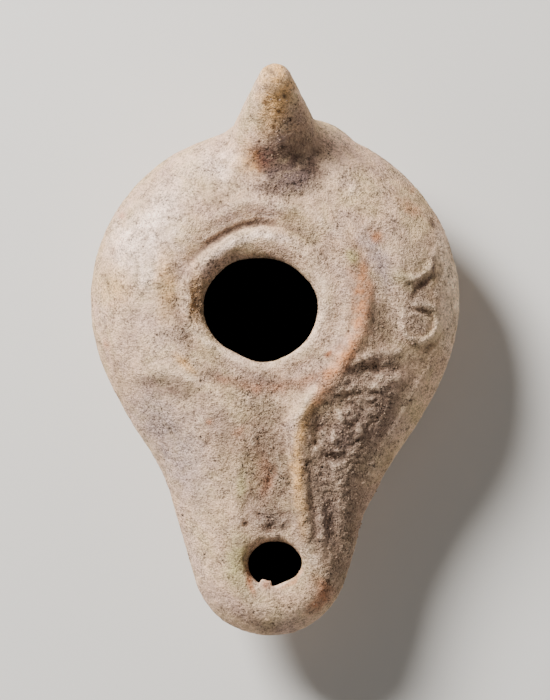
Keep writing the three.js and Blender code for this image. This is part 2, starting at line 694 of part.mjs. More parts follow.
/** The whole lamp: skin, handle and ornament joined, hollowed and pierced. */
function lampGeometry() {
  let body = toSolid(outerSkin()).add(toSolid(handleSkin()));
  for (const stroke of raisedOrnament()) body = body.add(toSolid(stroke));
  for (const stroke of sunkOrnament()) body = body.subtract(toSolid(stroke));
  body = body.subtract(toSolid(hollowSkin()));
  body = body.subtract(toSolid(holePlug(fillMiddle, FILL_WIDTH, FILL_LENGTH, FILL_FLAT)));
  body = body.subtract(toSolid(holePlug(wickMiddle, WICK_WIDTH, WICK_LENGTH, WICK_FLAT)));
  return toGeometry(body);
}

const firedClay = new THREE.MeshStandardMaterial({ color: 0xb5a08f, roughness: 0.95, metalness: 0 });
const lampBody = new THREE.Mesh(lampGeometry(), firedClay);
lampBody.name = 'lamp_body';

const lamp = new THREE.Group();
lamp.add(lampBody);

export default lamp;
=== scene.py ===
# %% [markdown]
# # A Roman oil lamp of fired clay
# The real lamp was pressed in two moulds: one for the plain belly and one for the decorated
# top. The halves were joined wet, a cone handle was set on the rear edge, two holes were
# pierced through the top, and the kiln made one hollow body of it all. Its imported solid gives
# the sizes and the place. This lesson rebuilds the same form as a finer mesh, with the worn
# relief, the sandy skin and the stains that the solid leaves out.

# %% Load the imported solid
import math

import bpy
import numpy as np
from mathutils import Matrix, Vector


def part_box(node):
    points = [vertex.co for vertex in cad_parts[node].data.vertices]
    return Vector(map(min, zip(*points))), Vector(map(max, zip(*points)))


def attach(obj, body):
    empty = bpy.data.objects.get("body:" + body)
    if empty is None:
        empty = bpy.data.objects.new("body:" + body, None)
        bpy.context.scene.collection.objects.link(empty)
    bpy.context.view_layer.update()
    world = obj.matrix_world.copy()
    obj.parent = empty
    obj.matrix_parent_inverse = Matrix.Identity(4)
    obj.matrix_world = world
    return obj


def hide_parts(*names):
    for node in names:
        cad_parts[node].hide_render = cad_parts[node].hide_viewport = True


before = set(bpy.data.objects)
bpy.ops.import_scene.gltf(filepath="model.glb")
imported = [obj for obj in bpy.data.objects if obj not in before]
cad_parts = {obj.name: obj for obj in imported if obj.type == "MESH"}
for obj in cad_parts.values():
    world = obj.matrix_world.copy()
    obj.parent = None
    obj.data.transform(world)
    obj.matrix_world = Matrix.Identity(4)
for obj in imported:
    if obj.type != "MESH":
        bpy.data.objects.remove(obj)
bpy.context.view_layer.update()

# %% [markdown]
# ## Sizes
# Blender works in metres, and a lamp is easier to think of in millimetres, so the form is
# worked out in millimetres and scaled once at the end. The width, the nozzle's reach and the
# handle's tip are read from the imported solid. The other sizes are the potter's: they repeat
# the solid's own values, so the finer mesh fits it with nothing moved afterwards.

# %% Sizes of the body
MM = 0.001
low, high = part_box("lamp_body")
BODY_RADIUS = (high.x - low.x) / 2 / MM
NOZZLE_REACH = -low.y / MM
TIP_HEIGHT = high.z / MM
BACK_DEPTH = 29.6
NOZZLE_RADIUS = 13.2
NOZZLE_SWAY = -0.9
NECK_BLEND = 6.6
NECK_PLACE = (0, -0.455 * BODY_RADIUS)
NECK_RADIUS = 0.708 * BODY_RADIUS
SEAM_HEIGHT = 15
SEAM_LIFT = 1.5
TOP_HEIGHT = 27
NOZZLE_DROP = 3.5
WALL = 3.2
FLOOR = 3.4
FOOT_RADIUS = 15
FOOT_HEIGHT = 1.2
FOOT_GROOVE_RADIUS = 11.8
FOOT_GROOVE_HALF = 0.8
FOOT_GROOVE_DEPTH = 0.6
print("half width", round(BODY_RADIUS, 2), "reach", round(NOZZLE_REACH, 2), "tip", round(TIP_HEIGHT, 2))

# %% Sizes of the disc, the channel, the holes and the handle
DISC_RADIUS = 17
DISC_MIDDLE = np.array([-1.9, -0.2])
FILL_SIZE = np.array([18.3, 17.1])
FILL_MIDDLE = DISC_MIDDLE + [-0.4, -1.9]
WICK_SIZE = np.array([8.6, 7.3])
WICK_MIDDLE = np.array([NOZZLE_SWAY + 1, 12.15 - NOZZLE_REACH])
CHANNEL_START = DISC_MIDDLE + [0.5, -0.88 * DISC_RADIUS]
CHANNEL_END = WICK_MIDDLE + [-0.5, 1]
CHANNEL_HALF = 4.5
CHANNEL_END_HALF = 6.1
KEYHOLE_BLEND = 0.3 * DISC_RADIUS
HANDLE_LENGTH = 20.5
HANDLE_LEAN = math.radians(54)
HANDLE_FOOT_RADIUS = 8.8
HANDLE_TIP_RADIUS = 2.8
HANDLE_FOOT = np.array([0, BACK_DEPTH - 6, 17])
HANDLE_TIP = HANDLE_FOOT + HANDLE_LENGTH * np.array([0, math.cos(HANDLE_LEAN), math.sin(HANDLE_LEAN)])
print("filling hole", FILL_MIDDLE, "wick hole", WICK_MIDDLE, "handle tip", HANDLE_TIP.round(2))

# %% [markdown]
# ## The plan as distances
# Seen from above, the lamp is a circle run into a long nozzle. A distance field says how far
# any point is from that outline, negative inside, and a soft minimum melts two such fields
# together the way wet clay closes a corner. The same two tools draw the keyhole that the
# ridge follows round the disc and down both sides of the channel.

# %% Plan distances
def soft_min(a, b, size):
    overlap = np.maximum(size - np.abs(a - b), 0) / size
    return np.minimum(a, b) - overlap ** 2 * size / 4


def soft_max(a, b, size):
    return -soft_min(-a, -b, size)


def ramp(value, start, end):
    share = np.clip((value - start) / (end - start), 0, 1)
    return share * share * (3 - 2 * share)


def bump(t):
    """A round bump of height 1 at 0 that ends at -1 and 1."""
    return np.where(np.abs(t) < 1, (1 - np.minimum(t * t, 1)) ** 2, 0)


def taper_distance(along, side, length, start_radius, end_radius):
    """Distance to the hull of two circles, or of two balls, from the way along and off their line."""
    sine = (start_radius - end_radius) / length
    cosine = math.sqrt(1 - sine * sine)
    slant = along * cosine - side * sine
    body = side * cosine + along * sine - start_radius
    body = np.where(slant < 0, np.hypot(along, side) - start_radius, body)
    return np.where(slant > cosine * length, np.hypot(along - length, side) - end_radius, body)


def plan_taper(x, y, start, start_radius, end, end_radius):
    length = math.dist(start, end)
    ux, uy = (np.asarray(end) - start) / length
    along = (x - start[0]) * ux + (y - start[1]) * uy
    side = np.abs((x - start[0]) * uy - (y - start[1]) * ux)
    return taper_distance(along, side, length, start_radius, end_radius)


REAR_SPOT_RADIUS = 7.5
SWELLING_ACROSS = 7.6
SWELLING = 1.7
DENT_ACROSS = -11.5
DENT = 0.35
FLANK_MIDDLE = (15.1, -37)
FLANK_RADIUS = 6.5
FLANK_LOSS = 0.6


def rear_spot(x, y, across):
    """A round spot of height 1 on the body's rear edge."""
    back = BACK_DEPTH * math.sqrt(1 - (across / BODY_RADIUS) ** 2)
    return bump(np.hypot(x - across, y - back) / REAR_SPOT_RADIUS)


def outline_distance(x, y):
    flattened = np.where(y > 0, y * BODY_RADIUS / BACK_DEPTH, y)
    uneven = SWELLING * rear_spot(x, y, SWELLING_ACROSS) - DENT * rear_spot(x, y, DENT_ACROSS)
    body = np.hypot(x, flattened) - BODY_RADIUS - uneven
    tip = (NOZZLE_SWAY, NOZZLE_RADIUS - NOZZLE_REACH)
    nozzle = plan_taper(x, y, NECK_PLACE, NECK_RADIUS, tip, NOZZLE_RADIUS)
    flank = bump(np.hypot(x - FLANK_MIDDLE[0], y - FLANK_MIDDLE[1]) / FLANK_RADIUS)
    return soft_min(body, nozzle, NECK_BLEND) + FLANK_LOSS * flank


def keyhole_distance(x, y):
    disc = np.hypot(x - DISC_MIDDLE[0], y - DISC_MIDDLE[1]) - DISC_RADIUS
    channel = plan_taper(x, y, CHANNEL_START, CHANNEL_HALF, CHANNEL_END, CHANNEL_END_HALF)
    return soft_min(disc, channel, KEYHOLE_BLEND)


print("outline at the middle", float(outline_distance(0, 0)))

# %% [markdown]
# ## The moulded ornament
# The mould left scrolls, a rosette and mouldings on the shoulder, crisp on the right and
# rubbed almost flat on the left. Each is a stroke: a short path with a width and a height,
# raised or sunk, that fades out at both ends. A stroke is measured as the distance to its
# path, so one function draws them all and neighbours run into each other softly.

# %% Strokes on the shoulder
def arc(x, y, radius, start, end, steps=12):
    turns = np.radians(np.linspace(start, end, steps + 1))
    return np.stack([x + radius * np.cos(turns), y + radius * np.sin(turns)], axis=1)


def line(*points):
    return np.array(points, float)


def bowed(start, end, bow, steps=8):
    share = np.linspace(0, 1, steps + 1)[:, None]
    start, end = np.array(start, float), np.array(end, float)
    across = np.array([start[1] - end[1], end[0] - start[0]])
    return start + (end - start) * share + across * bow * np.sin(math.pi * share)


def stroke_share(x, y, path, width):
    """1 along the middle of a path, 0 beyond half its width, fading toward both ends."""
    lengths = np.hypot(*np.diff(path, axis=0).T)
    before = np.concatenate([[0], np.cumsum(lengths)])
    nearest = np.full(np.broadcast(x, y).shape, np.inf)
    place = np.zeros_like(nearest)
    for start, end, length, walked in zip(path, path[1:], lengths, before):
        ux, uy = (end - start) / length
        along = np.clip((x - start[0]) * ux + (y - start[1]) * uy, 0, length)
        away = np.hypot(x - start[0] - along * ux, y - start[1] - along * uy)
        closer = away < nearest
        nearest = np.where(closer, away, nearest)
        place = np.where(closer, walked + along, place)
    fullness = 0.35 + 0.65 * np.sin(math.pi * np.clip(place / before[-1], 0, 1)) ** 0.7
    uneven = 1 + 0.22 * np.sin(1.9 * x + 0.7 * y) * np.sin(1.6 * y - 0.5 * x)
    return bump(nearest / (width / 2 * (0.5 + 0.5 * fullness) * uneven)) * fullness


SCROLLS = [
    (arc(22.7, 7.4, 4, 230, 372), 2.4, 0.7),
    (arc(24.2, -3.9, 3.1, -170, 115), 2.2, 0.7),
    (bowed((27, 4.2), (22.8, 0.2), -0.14), 2.4, -0.5),
    (line((28.6, -3.1), (28, -5.4), (26.3, -7.4), (23.8, -8.8)), 2.6, -0.38),
    (bowed((22.4, -1.2), (26.1, -2.6), 0), 1.7, -0.4),
    (line((27.4, 8), (27.6, 5.2), (26.6, 2.6)), 2.6, -0.4),
    (line((18.8, 5.8), (20.2, 4), (20.4, 1.8)), 4.4, 0.35),
    (line((17.2, -1), (18.6, -4.6), (19.4, -7.4)), 6.5, -0.45),
    (line((27.8, 10.4), (28.6, 6)), 3.6, 0.25),
]
LEAVES = [
    (bowed((13.4, -10.4), (20.6, -8.8), 0.08), 2.8, 0.6),
    (bowed((11.6, -12.4), (20.8, -11.7), 0.06), 3.4, -0.8),
    (bowed((10.4, -15.4), (18, -14.8), 0.08), 2.6, 0.5),
    (bowed((12.8, -17.4), (16.6, -17.6), 0), 2.4, -0.35),
    (line((19.2, -13.2), (21.6, -13.6)), 2.6, 0.3),
]
ROSETTE = [
    (line((10.4, -19.7), (11.5, -19.2)), 4.2, 0.75),
    (line((9.3, -23.3), (10.4, -23)), 3.9, 0.7),
    (arc(10.9, -21.7, 4.4, 10, 70), 2.2, -0.45),
    (arc(10.9, -21.7, 4.3, 140, 215), 2.4, -0.65),
    (arc(10.9, -21.7, 4.5, 228, 290), 2.6, -0.5),
    (line((13.6, -21.4), (14.8, -22.2)), 3.4, 0.4),
    (line((12.2, -25.4), (13.4, -26.4)), 3.2, 0.35),
    (line((7.1, -20.8), (7.8, -21.7)), 2.3, -0.45),
    (line((6, -23.6), (6.9, -24.2)), 2.2, -0.4),
    (line((8.4, -26.3), (11, -26.8)), 2.6, -0.4),
    (line((16.4, -20), (15.2, -24.4)), 3.4, -0.3),
]
MOULDINGS = [
    (line((27.4, -6.4), (26, -11.2), (23.2, -16)), 2.9, 0.4),
    (line((24, -14.2), (21.4, -19.2), (18.6, -24)), 2.5, 0.34),
    (line((19.4, -22.2), (16.8, -27.4), (15, -31.4)), 2.8, 0.38),
    (line((23, -12.4), (20, -18.6), (16.4, -25)), 3, -0.22),
    (bowed((5.9, -32.4), (6.4, -40.4), 0.02), 2.4, -0.45),
    (bowed((7.4, -33.4), (7.9, -41.4), 0.02), 2.4, 0.4),
    (bowed((9.4, -34), (9.5, -39.4), -0.02), 2.6, -0.2),
]
WORN = [
    (bowed((-20.6, -13.9), (-12, -15.3), 0.05), 3.4, -0.5),
    (bowed((-20.8, -11.1), (-16.5, -12.4), 0), 3.4, 0.25),
    (line((-12.9, -20.3), (-11.7, -19.7)), 4.8, 0.4),
    (line((-11.6, -23.4), (-10.6, -24)), 3.4, -0.25),
    (line((-24.1, 4.1), (-23.8, 2.9)), 5.4, -0.2),
    (line((-23.8, -2.9), (-23.5, -3.9)), 5.4, -0.18),
    (bowed((16.4, 11), (19.5, 8.5), 0), 4.4, -0.35),
    (line((15, 13.2), (16.2, 12.4)), 4.6, 0.3),
    (line((12.4, 18.4), (13.4, 17.7)), 4.2, 0.25),
    (line((10.8, 16.3), (11.7, 15.3)), 3.2, -0.2),
]
STROKES = SCROLLS + LEAVES + ROSETTE + MOULDINGS + WORN


def ornament(x, y):
    return sum(height * stroke_share(x, y, path, width) for path, width, height in STROKES)


print(len(STROKES), "strokes")

# %% [markdown]
# ## Breaks and crumbs
# Use and burial left their own marks: a bruise on the left of the filling hole with a lump
# of clay beside it, pits in the channel, a crumbly patch above the wick hole and a dent where
# the handle meets the disc. They are strokes too, but ragged ones, kept in a list of their own
# so that the dirt can be told to settle in them later.

# %% Damage
DAMAGE = [
    (line((-13.5, 3.6), (-12.7, -0.6), (-13.2, -3.4)), 3, -0.75),
    (line((-12.2, 2.4), (-11.9, -2.6)), 1.8, 0.3),
    (line((-17.2, -4.7), (-14, -5.5)), 4.2, 0.4),
    (line((-16, -11), (-13.6, -9.6)), 1.8, -0.25),
    (line((8.2, -9.6), (9.4, -8.6)), 1.5, -0.25),
    (line((-2.4, 17.8), (1, 18.6), (5.6, 18.3)), 3.6, -0.3),
    (line((-2, 19.6), (5, 19.9)), 3, 0.3),
    (line((-5.1, -37), (-4.6, -37.9)), 2, -0.45),
    (line((-3, -35.6), (-2.4, -36.5)), 1.8, -0.35),
    (line((-0.8, -37.6), (-0.4, -38.8)), 1.8, -0.45),
    (line((0.8, -35.4), (1.7, -36.2)), 1.7, -0.35),
    (line((-3.8, -37), (-1.4, -37.4)), 2.8, 0.3),
    (line((0.2, -35.6), (1.6, -37.6)), 2.8, 0.3),
    (line((-2.1, -25.6), (-0.4, -28.4), (-1.9, -33)), 2.4, -0.3),
    (line((0.3, -24.6), (1.1, -30.4)), 1.8, 0.3),
    (line((-3.8, -21), (-3.2, -26)), 1.6, 0.22),
    (line((8.8, -47), (9, -46.6)), 1, -0.5),
]


def damage(x, y):
    return sum(depth * stroke_share(x, y, path, width) for path, width, depth in DAMAGE)


print(len(DAMAGE), "marks")

# %% [markdown]
# ## Disc, ridge and channel
# The relief that gives the lamp its face is a sum of simple bumps on distances: a ridge on the
# keyhole's line with a shallow valley outside it, a groove and a rim round the filling hole, a
# sunken channel and a shallow bowl round the wick hole. The ridge is weaker on the left, where
# hands wore it, and the groove is deepest toward the handle and the upper left. Bearings are in
# degrees, counted from the right, over the handle, to the left.

# %% Relief of the top
RIDGE_HEIGHT = 1.1
RIDGE_HALF = 2.2
RIDGE_ON_THE_LEFT = 0.2
VALLEY_DEPTH = 0.5
VALLEY_AWAY = 4.2
VALLEY_HALF = 2.6
GROOVE_REACH = 12.6
GROOVE_DEPTH = 0.62
GROOVE_INNER_HALF = 0.9
GROOVE_OUTER_HALF = 1.3
RIM_REACH = 10.5
RIM_HEIGHT = 0.6
RIM_HALF = 2.2
DISC_SINK = 0.5
CHANNEL_SINK = 0.7
SINK_WAY = 4.5
BOWL_SHIFT = (1.3, -1.6)
BOWL_RADIUS = 7.4
BOWL_DEPTH = 1.2
RIDGE_GAP_SHIFT = (1.3, -2.6)


def from_wick(x, y, shift):
    return np.hypot(x - WICK_MIDDLE[0] - shift[0], y - WICK_MIDDLE[1] - shift[1])


def moulded_relief(x, y):
    ridge_distance = keyhole_distance(x, y)
    dx, dy = x - DISC_MIDDLE[0], y - DISC_MIDDLE[1]
    reach = np.hypot(dx, dy)
    bearing = np.degrees(np.arctan2(dy, dx)) % 360
    toward_left = ramp(bearing, 122, 168) * (1 - ramp(bearing, 200, 250))

    rubbed = dx * (1 + np.maximum(-dy, 0) / DISC_RADIUS) + 0.5 * np.maximum(dy, 0)
    kept = ramp(rubbed, -DISC_RADIUS / 2, DISC_RADIUS / 3)
    ridge_left = RIDGE_ON_THE_LEFT + (1 - RIDGE_ON_THE_LEFT) * kept
    ridge_left *= 1 - 0.35 * ramp(dy, -2, DISC_RADIUS / 2)
    shift = 0.3 + 0.8 * ramp(dy, 4, 12) - ramp(-dy, 10, 14) * ramp(dy, -21, -17)
    past_bowl = ramp(from_wick(x, y, RIDGE_GAP_SHIFT), 7, 11)
    waver = 0.35 * np.sin(0.55 * x + 1) * np.sin(0.47 * y)
    ridge = RIDGE_HEIGHT * ridge_left * past_bowl * bump((ridge_distance + shift + waver) / RIDGE_HALF)
    valley = bump((ridge_distance - VALLEY_AWAY) / VALLEY_HALF)
    valley = VALLEY_DEPTH * ridge_left * past_bowl * valley * ramp(dx, -4, 4)

    to_groove = reach - GROOVE_REACH - 1.6 * toward_left
    groove_profile = bump(to_groove / np.where(to_groove > 0, GROOVE_OUTER_HALF, GROOVE_INNER_HALF))
    groove_left = 0.2 + 0.8 * ramp(bearing, 72, 96) * (1 - ramp(bearing, 128, 160))
    groove = GROOVE_DEPTH * groove_left * groove_profile
    rim_left = 0.3 + 0.7 * ramp((dy - dx) / DISC_RADIUS, -1, 0.5)
    rim = RIM_HEIGHT * rim_left * bump((reach - RIM_REACH - 1.5 * toward_left) / RIM_HALF)

    disc_sink = DISC_SINK * ramp(DISC_RADIUS - reach, -1, SINK_WAY)
    past_disc = ramp(reach, 0.8 * DISC_RADIUS, 1.2 * DISC_RADIUS)
    channel_sink = CHANNEL_SINK * past_disc * ramp(-ridge_distance, 0, SINK_WAY)
    bowl = BOWL_DEPTH * bump(from_wick(x, y, BOWL_SHIFT) / BOWL_RADIUS)
    return ridge + rim - groove - disc_sink - channel_sink - bowl - valley


def relief(x, y):
    return moulded_relief(x, y) + ornament(x, y) + damage(x, y)


print("relief on the ridge", float(relief(np.array(15.1), np.array(-0.2))))

# %% [markdown]
# ## The body as a solid field
# A mesh pushed about by hand would tear at the pierced holes and pinch at the handle. A field
# in space has no such trouble: it is negative in the clay and positive outside it, so joining,
# hollowing and piercing are a minimum or a maximum, and a soft one rounds the edge as a wet
# finger does. Shoulder and belly are superellipse curves that both stand upright at the seam.

# %% The two pressed halves
SHOULDER_POWERS = (1.9, 1.7)
BELLY_POWERS = (1.6, 1.8)
FIELD_LIMIT = 8


def shoulder_left(x, y, inset):
    """1 at the outline, falling to 0 at the ridge, and over 1 outside."""
    inside = -outline_distance(x, y) - inset
    ridge = np.maximum(keyhole_distance(x, y), 0)
    within = ridge / np.maximum(ridge + np.maximum(inside, 0), 1e-6)
    return np.where(inside > 0, within, 1 - inside / np.maximum(ridge, 1))


def belly_share(x, y, inset, base_radius):
    """0 over the foot, rising to 1 at the outline, and over 1 outside."""
    inside = -outline_distance(x, y) - inset
    outside = np.maximum(np.hypot(x, y) - base_radius, 0)
    within = outside / np.maximum(outside + np.maximum(inside, 0), 1e-6)
    return np.where(inside > 0, within, 1 - inside / np.maximum(outside, 1))


def plan_slope(field, x, y, reach=0.1):
    dx = (field(x + reach, y) - field(x - reach, y)) / (2 * reach)
    dy = (field(x, y + reach) - field(x, y - reach)) / (2 * reach)
    return np.hypot(dx, dy)


def toward_tip(y):
    return ramp(-y, 0.27 * NOZZLE_REACH, 0.8 * NOZZLE_REACH)


def seam_height(y):
    return SEAM_HEIGHT + SEAM_LIFT * toward_tip(y)


def top_height(y):
    return TOP_HEIGHT - NOZZLE_DROP * toward_tip(y)


def half_field(share, slope, rise, height, powers):
    """Rough distance to a superellipse from its two shares."""
    out_power, up_power = powers
    up = np.maximum(height / rise, 0)
    value = share ** out_power + up ** up_power - 1
    across = out_power * share ** (out_power - 1) * slope
    along = up_power * up ** (up_power - 1) / rise
    return value / np.maximum(np.hypot(across, along), 0.03)


def shell_field(x, y, z, inset, base, base_radius, raised):
    seam = seam_height(y)
    left = shoulder_left(x, y, inset)
    left_slope = plan_slope(lambda u, v: shoulder_left(u, v, inset), x, y)
    above = half_field(left, left_slope, top_height(y) - inset - seam, z - seam - raised, SHOULDER_POWERS)
    share = belly_share(x, y, inset, base_radius)
    share_slope = plan_slope(lambda u, v: belly_share(u, v, inset, base_radius), x, y)
    below = half_field(share, share_slope, seam - base, seam - z, BELLY_POWERS)
    return np.clip(np.where(z >= seam, above, below), -FIELD_LIMIT, FIELD_LIMIT)


def hollow_field(x, y, z):
    return shell_field(x, y, z, WALL, FOOT_HEIGHT + FLOOR, FOOT_RADIUS - 0.6 * WALL, 0)


# %% The handle, the foot and the two holes
def handle_field(x, y, z):
    axis = (HANDLE_TIP - HANDLE_FOOT) / HANDLE_LENGTH
    dy, dz = y - HANDLE_FOOT[1], z - HANDLE_FOOT[2]
    along = dy * axis[1] + dz * axis[2]
    side = np.hypot(x - HANDLE_FOOT[0], dy * axis[2] - dz * axis[1])
    return taper_distance(along, side, HANDLE_LENGTH, HANDLE_FOOT_RADIUS, HANDLE_TIP_RADIUS)


def foot_field(x, y, z):
    radius = np.hypot(x, y)
    disc = soft_max(radius - FOOT_RADIUS, np.maximum(-z, z - 2 * FOOT_HEIGHT), 0.6)
    height = z * FOOT_GROOVE_HALF / FOOT_GROOVE_DEPTH
    groove = np.hypot(radius - FOOT_GROOVE_RADIUS, height) - FOOT_GROOVE_HALF
    return soft_max(disc, -groove, 0.3)


def hole_field(x, y, z, middle, size, slant, flare, flat_bearing, flat_share):
    """A hole pierced at a slant: its mouth sits further up and left than its throat."""
    throat = top_height(middle[1]) - WALL
    rise = np.clip((z - throat) / WALL, -0.5, 1.6)
    dx = x - middle[0] + slant[0] * rise
    dy = y - middle[1] - slant[1] * rise
    bearing = np.arctan2(dy, dx)
    away = np.abs((bearing - flat_bearing + math.pi) % (2 * math.pi) - math.pi)
    wobble = 0.012 * np.sin(3 * bearing + 1) + 0.008 * np.sin(7 * bearing)
    grown = 1 + flare * rise - flat_share * bump(away / (0.3 * math.pi)) + wobble
    across = np.hypot(dx / size[0], dy / size[1]) * 2 - grown
    return soft_max(across * min(size) / 2, seam_height(middle[1]) + 1 - z, 1)


def fill_hole(x, y, z):
    return hole_field(x, y, z, FILL_MIDDLE, FILL_SIZE, slant=(0.7, 1.3), flare=0.13,
                      flat_bearing=math.radians(236), flat_share=0.1)


def wick_hole(x, y, z):
    return hole_field(x, y, z, WICK_MIDDLE, WICK_SIZE, slant=(0.7, 0.6), flare=0.16,
                      flat_bearing=math.radians(-60), flat_share=0.12)


CRUMB_BALLS = [((-1.9, -47.2, 21.6), 0.55), ((-1.0, -47.3, 21.8), 0.5), ((-1.5, -48.1, 22.1), 0.65)]


def crumb_field(x, y, z):
    balls = [np.sqrt((x - a) ** 2 + (y - b) ** 2 + (z - c) ** 2) - r for (a, b, c), r in CRUMB_BALLS]
    return soft_min(soft_min(balls[0], balls[1], 0.4), balls[2], 0.6)


def belly_marks(x, y, z):
    """The joint of the two halves, smoothed by a finger, and the wipes of a wet hand below it."""
    below = seam_height(y) - z + 0.3 * np.sin(0.21 * x + 0.3 * y)
    joint = 0.2 * bump(below / 0.7) * (0.6 + 0.4 * np.sin(0.37 * x - 0.29 * y))
    wipes = 0.07 * np.sin(1.9 * z + 0.9 * np.sin(0.13 * x + 0.11 * y)) * ramp(below, 1, 4)
    return joint + wipes


FOOT_BLEND = 0.8
HANDLE_BLEND = 4.5
HANDLE_BLEND_LOSS = 2.7
FILL_LIP = 1.3
WICK_LIP = 0.9
CRUMB_BLEND = 0.5


def lamp_field(x, y, z):
    """Distance to the lamp's clay in millimetres, negative inside it."""
    outer = shell_field(x, y, z, 0, FOOT_HEIGHT, FOOT_RADIUS, relief(x, y))
    outer = outer + belly_marks(x, y, z)
    outer = soft_min(outer, foot_field(x, y, z), FOOT_BLEND)
    handle_blend = HANDLE_BLEND - HANDLE_BLEND_LOSS * ramp(y, 19, 27)
    outer = soft_min(outer, handle_field(x, y, z), handle_blend)
    body = np.maximum(outer, -hollow_field(x, y, z))
    body = soft_max(body, -fill_hole(x, y, z), FILL_LIP)
    body = soft_max(body, -wick_hole(x, y, z), WICK_LIP)
    return soft_min(body, crumb_field(x, y, z), CRUMB_BLEND)


print("in the wall", float(lamp_field(np.array(0.0), np.array(27.0), np.array(16.0)).round(2)))

# %% [markdown]
# ## From field to mesh
# The field is sampled on a grid of small cubes. Every cube that the surface crosses gets one
# vertex at the mean of its edge crossings, and every crossed grid edge gets one face between
# the four cubes around it. The result is closed everywhere, holes and hollow included. One
# step along the field's own slope then sets each vertex exactly on the clay's surface.

# %% Sample the field and draw its skin
CELL = 0.34


def grid_line(start, end):
    return np.arange(start - 4 * CELL, end + 5 * CELL, CELL)


def untangle(values):
    """Flips the weakest corner of each grid face whose corners alternate, and counts them.

    Such a face would give one edge four faces, and the mesh would not be closed there.
    """
    flipped = 0
    for first, second in ((0, 1), (1, 2), (0, 2)):
        steps = np.eye(3, dtype=int)[[first, second]]
        corners = [np.array([0, 0, 0]), steps[0], steps[0] + steps[1], steps[1]]
        sizes = np.array(values.shape) - steps.sum(axis=0)
        solid = [values[tuple(slice(c, c + n) for c, n in zip(corner, sizes))] < 0 for corner in corners]
        alternating = (solid[0] == solid[2]) & (solid[1] == solid[3]) & (solid[0] != solid[1])
        for place in np.argwhere(alternating):
            weakest = min(corners, key=lambda corner: abs(values[tuple(place + corner)]))
            values[tuple(place + weakest)] *= -1
            flipped += 1
    return flipped


def draw_skin(field, xs, ys, zs):
    values = field(xs[:, None, None], ys[None, :, None], zs[None, None, :])
    while untangle(values):
        pass
    solid = values < 0
    cells = tuple(n - 1 for n in values.shape)
    filled = np.zeros(cells, np.int8)
    for corner in np.ndindex(2, 2, 2):
        filled += solid[tuple(slice(c, c + n) for c, n in zip(corner, cells))]
    mixed = np.argwhere((filled > 0) & (filled < 8))
    index = np.full(cells, -1, np.int32)
    index[tuple(mixed.T)] = np.arange(len(mixed))
    total = np.zeros((len(mixed), 3))
    hits = np.zeros(len(mixed))
    quads = []
    for axis in range(3):
        step = np.eye(3, dtype=int)[axis]
        others = [np.eye(3, dtype=int)[(axis + 1) % 3], np.eye(3, dtype=int)[(axis + 2) % 3]]
        for a, b in np.ndindex(2, 2):
            start = mixed + a * others[0] + b * others[1]
            near, far = values[tuple(start.T)], values[tuple((start + step).T)]
            crossed = (near < 0) != (far < 0)
            share = near[crossed] / (near[crossed] - far[crossed])
            total[crossed] += start[crossed] + share[:, None] * step
            hits[crossed] += 1
        crossed = np.argwhere(np.diff(solid.astype(np.int8), axis=axis) != 0)
        inner = np.all([(crossed[:, k] > 0) | (k == axis) for k in range(3)], axis=0)
        crossed = crossed[inner]
        ring = [crossed - others[0] - others[1], crossed - others[1], crossed, crossed - others[0]]
        faces = np.stack([index[tuple(cell.T)] for cell in ring], axis=1)
        outward = solid[tuple(crossed.T)]
        quads.append(np.where(outward[:, None], faces, faces[:, ::-1]))
    places = total / hits[:, None]
    points = np.array([xs[0], ys[0], zs[0]]) + places * CELL
    return points, np.concatenate(quads)


points, quads = draw_skin(
    lamp_field,
    grid_line(-BODY_RADIUS, BODY_RADIUS),
    grid_line(-NOZZLE_REACH, high.y / MM),
    grid_line(0, TIP_HEIGHT),
)
print(len(points), "points", len(quads), "faces")


# %% Settle the points on the surface
def field_slope(points, reach=0.05):
    slope = np.empty_like(points)
    for axis in range(3):
        step = np.eye(3)[axis] * reach
        ahead, behind = lamp_field(*(points + step).T), lamp_field(*(points - step).T)
        slope[:, axis] = (ahead - behind) / (2 * reach)
    return slope


slope = field_slope(points)
size = np.maximum(np.linalg.norm(slope, axis=1), 0.3)
away = lamp_field(*points.T) / size
points -= np.clip(away, -CELL / 2, CELL / 2)[:, None] * slope / size[:, None]
print("largest move", float(np.abs(away).max().round(3)), "mm")

# %% [markdown]
# ## Fewer faces where nobody looks closely
# A piece keeps under 200,000 triangles, and the decorated top should have most of them. The
# Decimate modifier takes a vertex group, so the belly and the hollow give up their faces and
# the top keeps its own. Applying it through the evaluated object leaves a plain mesh.

# %% Build the mesh and thin the plain sides
TRIANGLES = 188000


def new_piece(name, vertices, faces):
    mesh = bpy.data.meshes.new(name)
    mesh.from_pydata(vertices, [], faces)
    mesh.update()
    piece = bpy.data.objects.new(name, mesh)
    bpy.context.scene.collection.objects.link(piece)
    return piece


def apply_modifiers(piece):
    """Puts the evaluated shape in the piece's mesh and takes its modifiers off."""
    bpy.context.view_layer.update()
    evaluated = piece.evaluated_get(bpy.context.evaluated_depsgraph_get())
    mesh = bpy.data.meshes.new_from_object(evaluated)
    piece.modifiers.clear()
    old = piece.data
    piece.data = mesh
    mesh.name = piece.name
    bpy.data.meshes.remove(old)
    return piece


def vertex_places(mesh):
    places = np.empty(len(mesh.vertices) * 3)
    mesh.vertices.foreach_get("co", places)
    return places.reshape(-1, 3) / MM


def triangle_count(mesh):
    return sum(len(face.vertices) - 2 for face in mesh.polygons)


def open_edges(mesh):
    edges = np.empty(len(mesh.loops), np.int32)
    mesh.loops.foreach_get("edge_index", edges)
    return int((np.bincount(edges, minlength=len(mesh.edges)) != 2).sum())


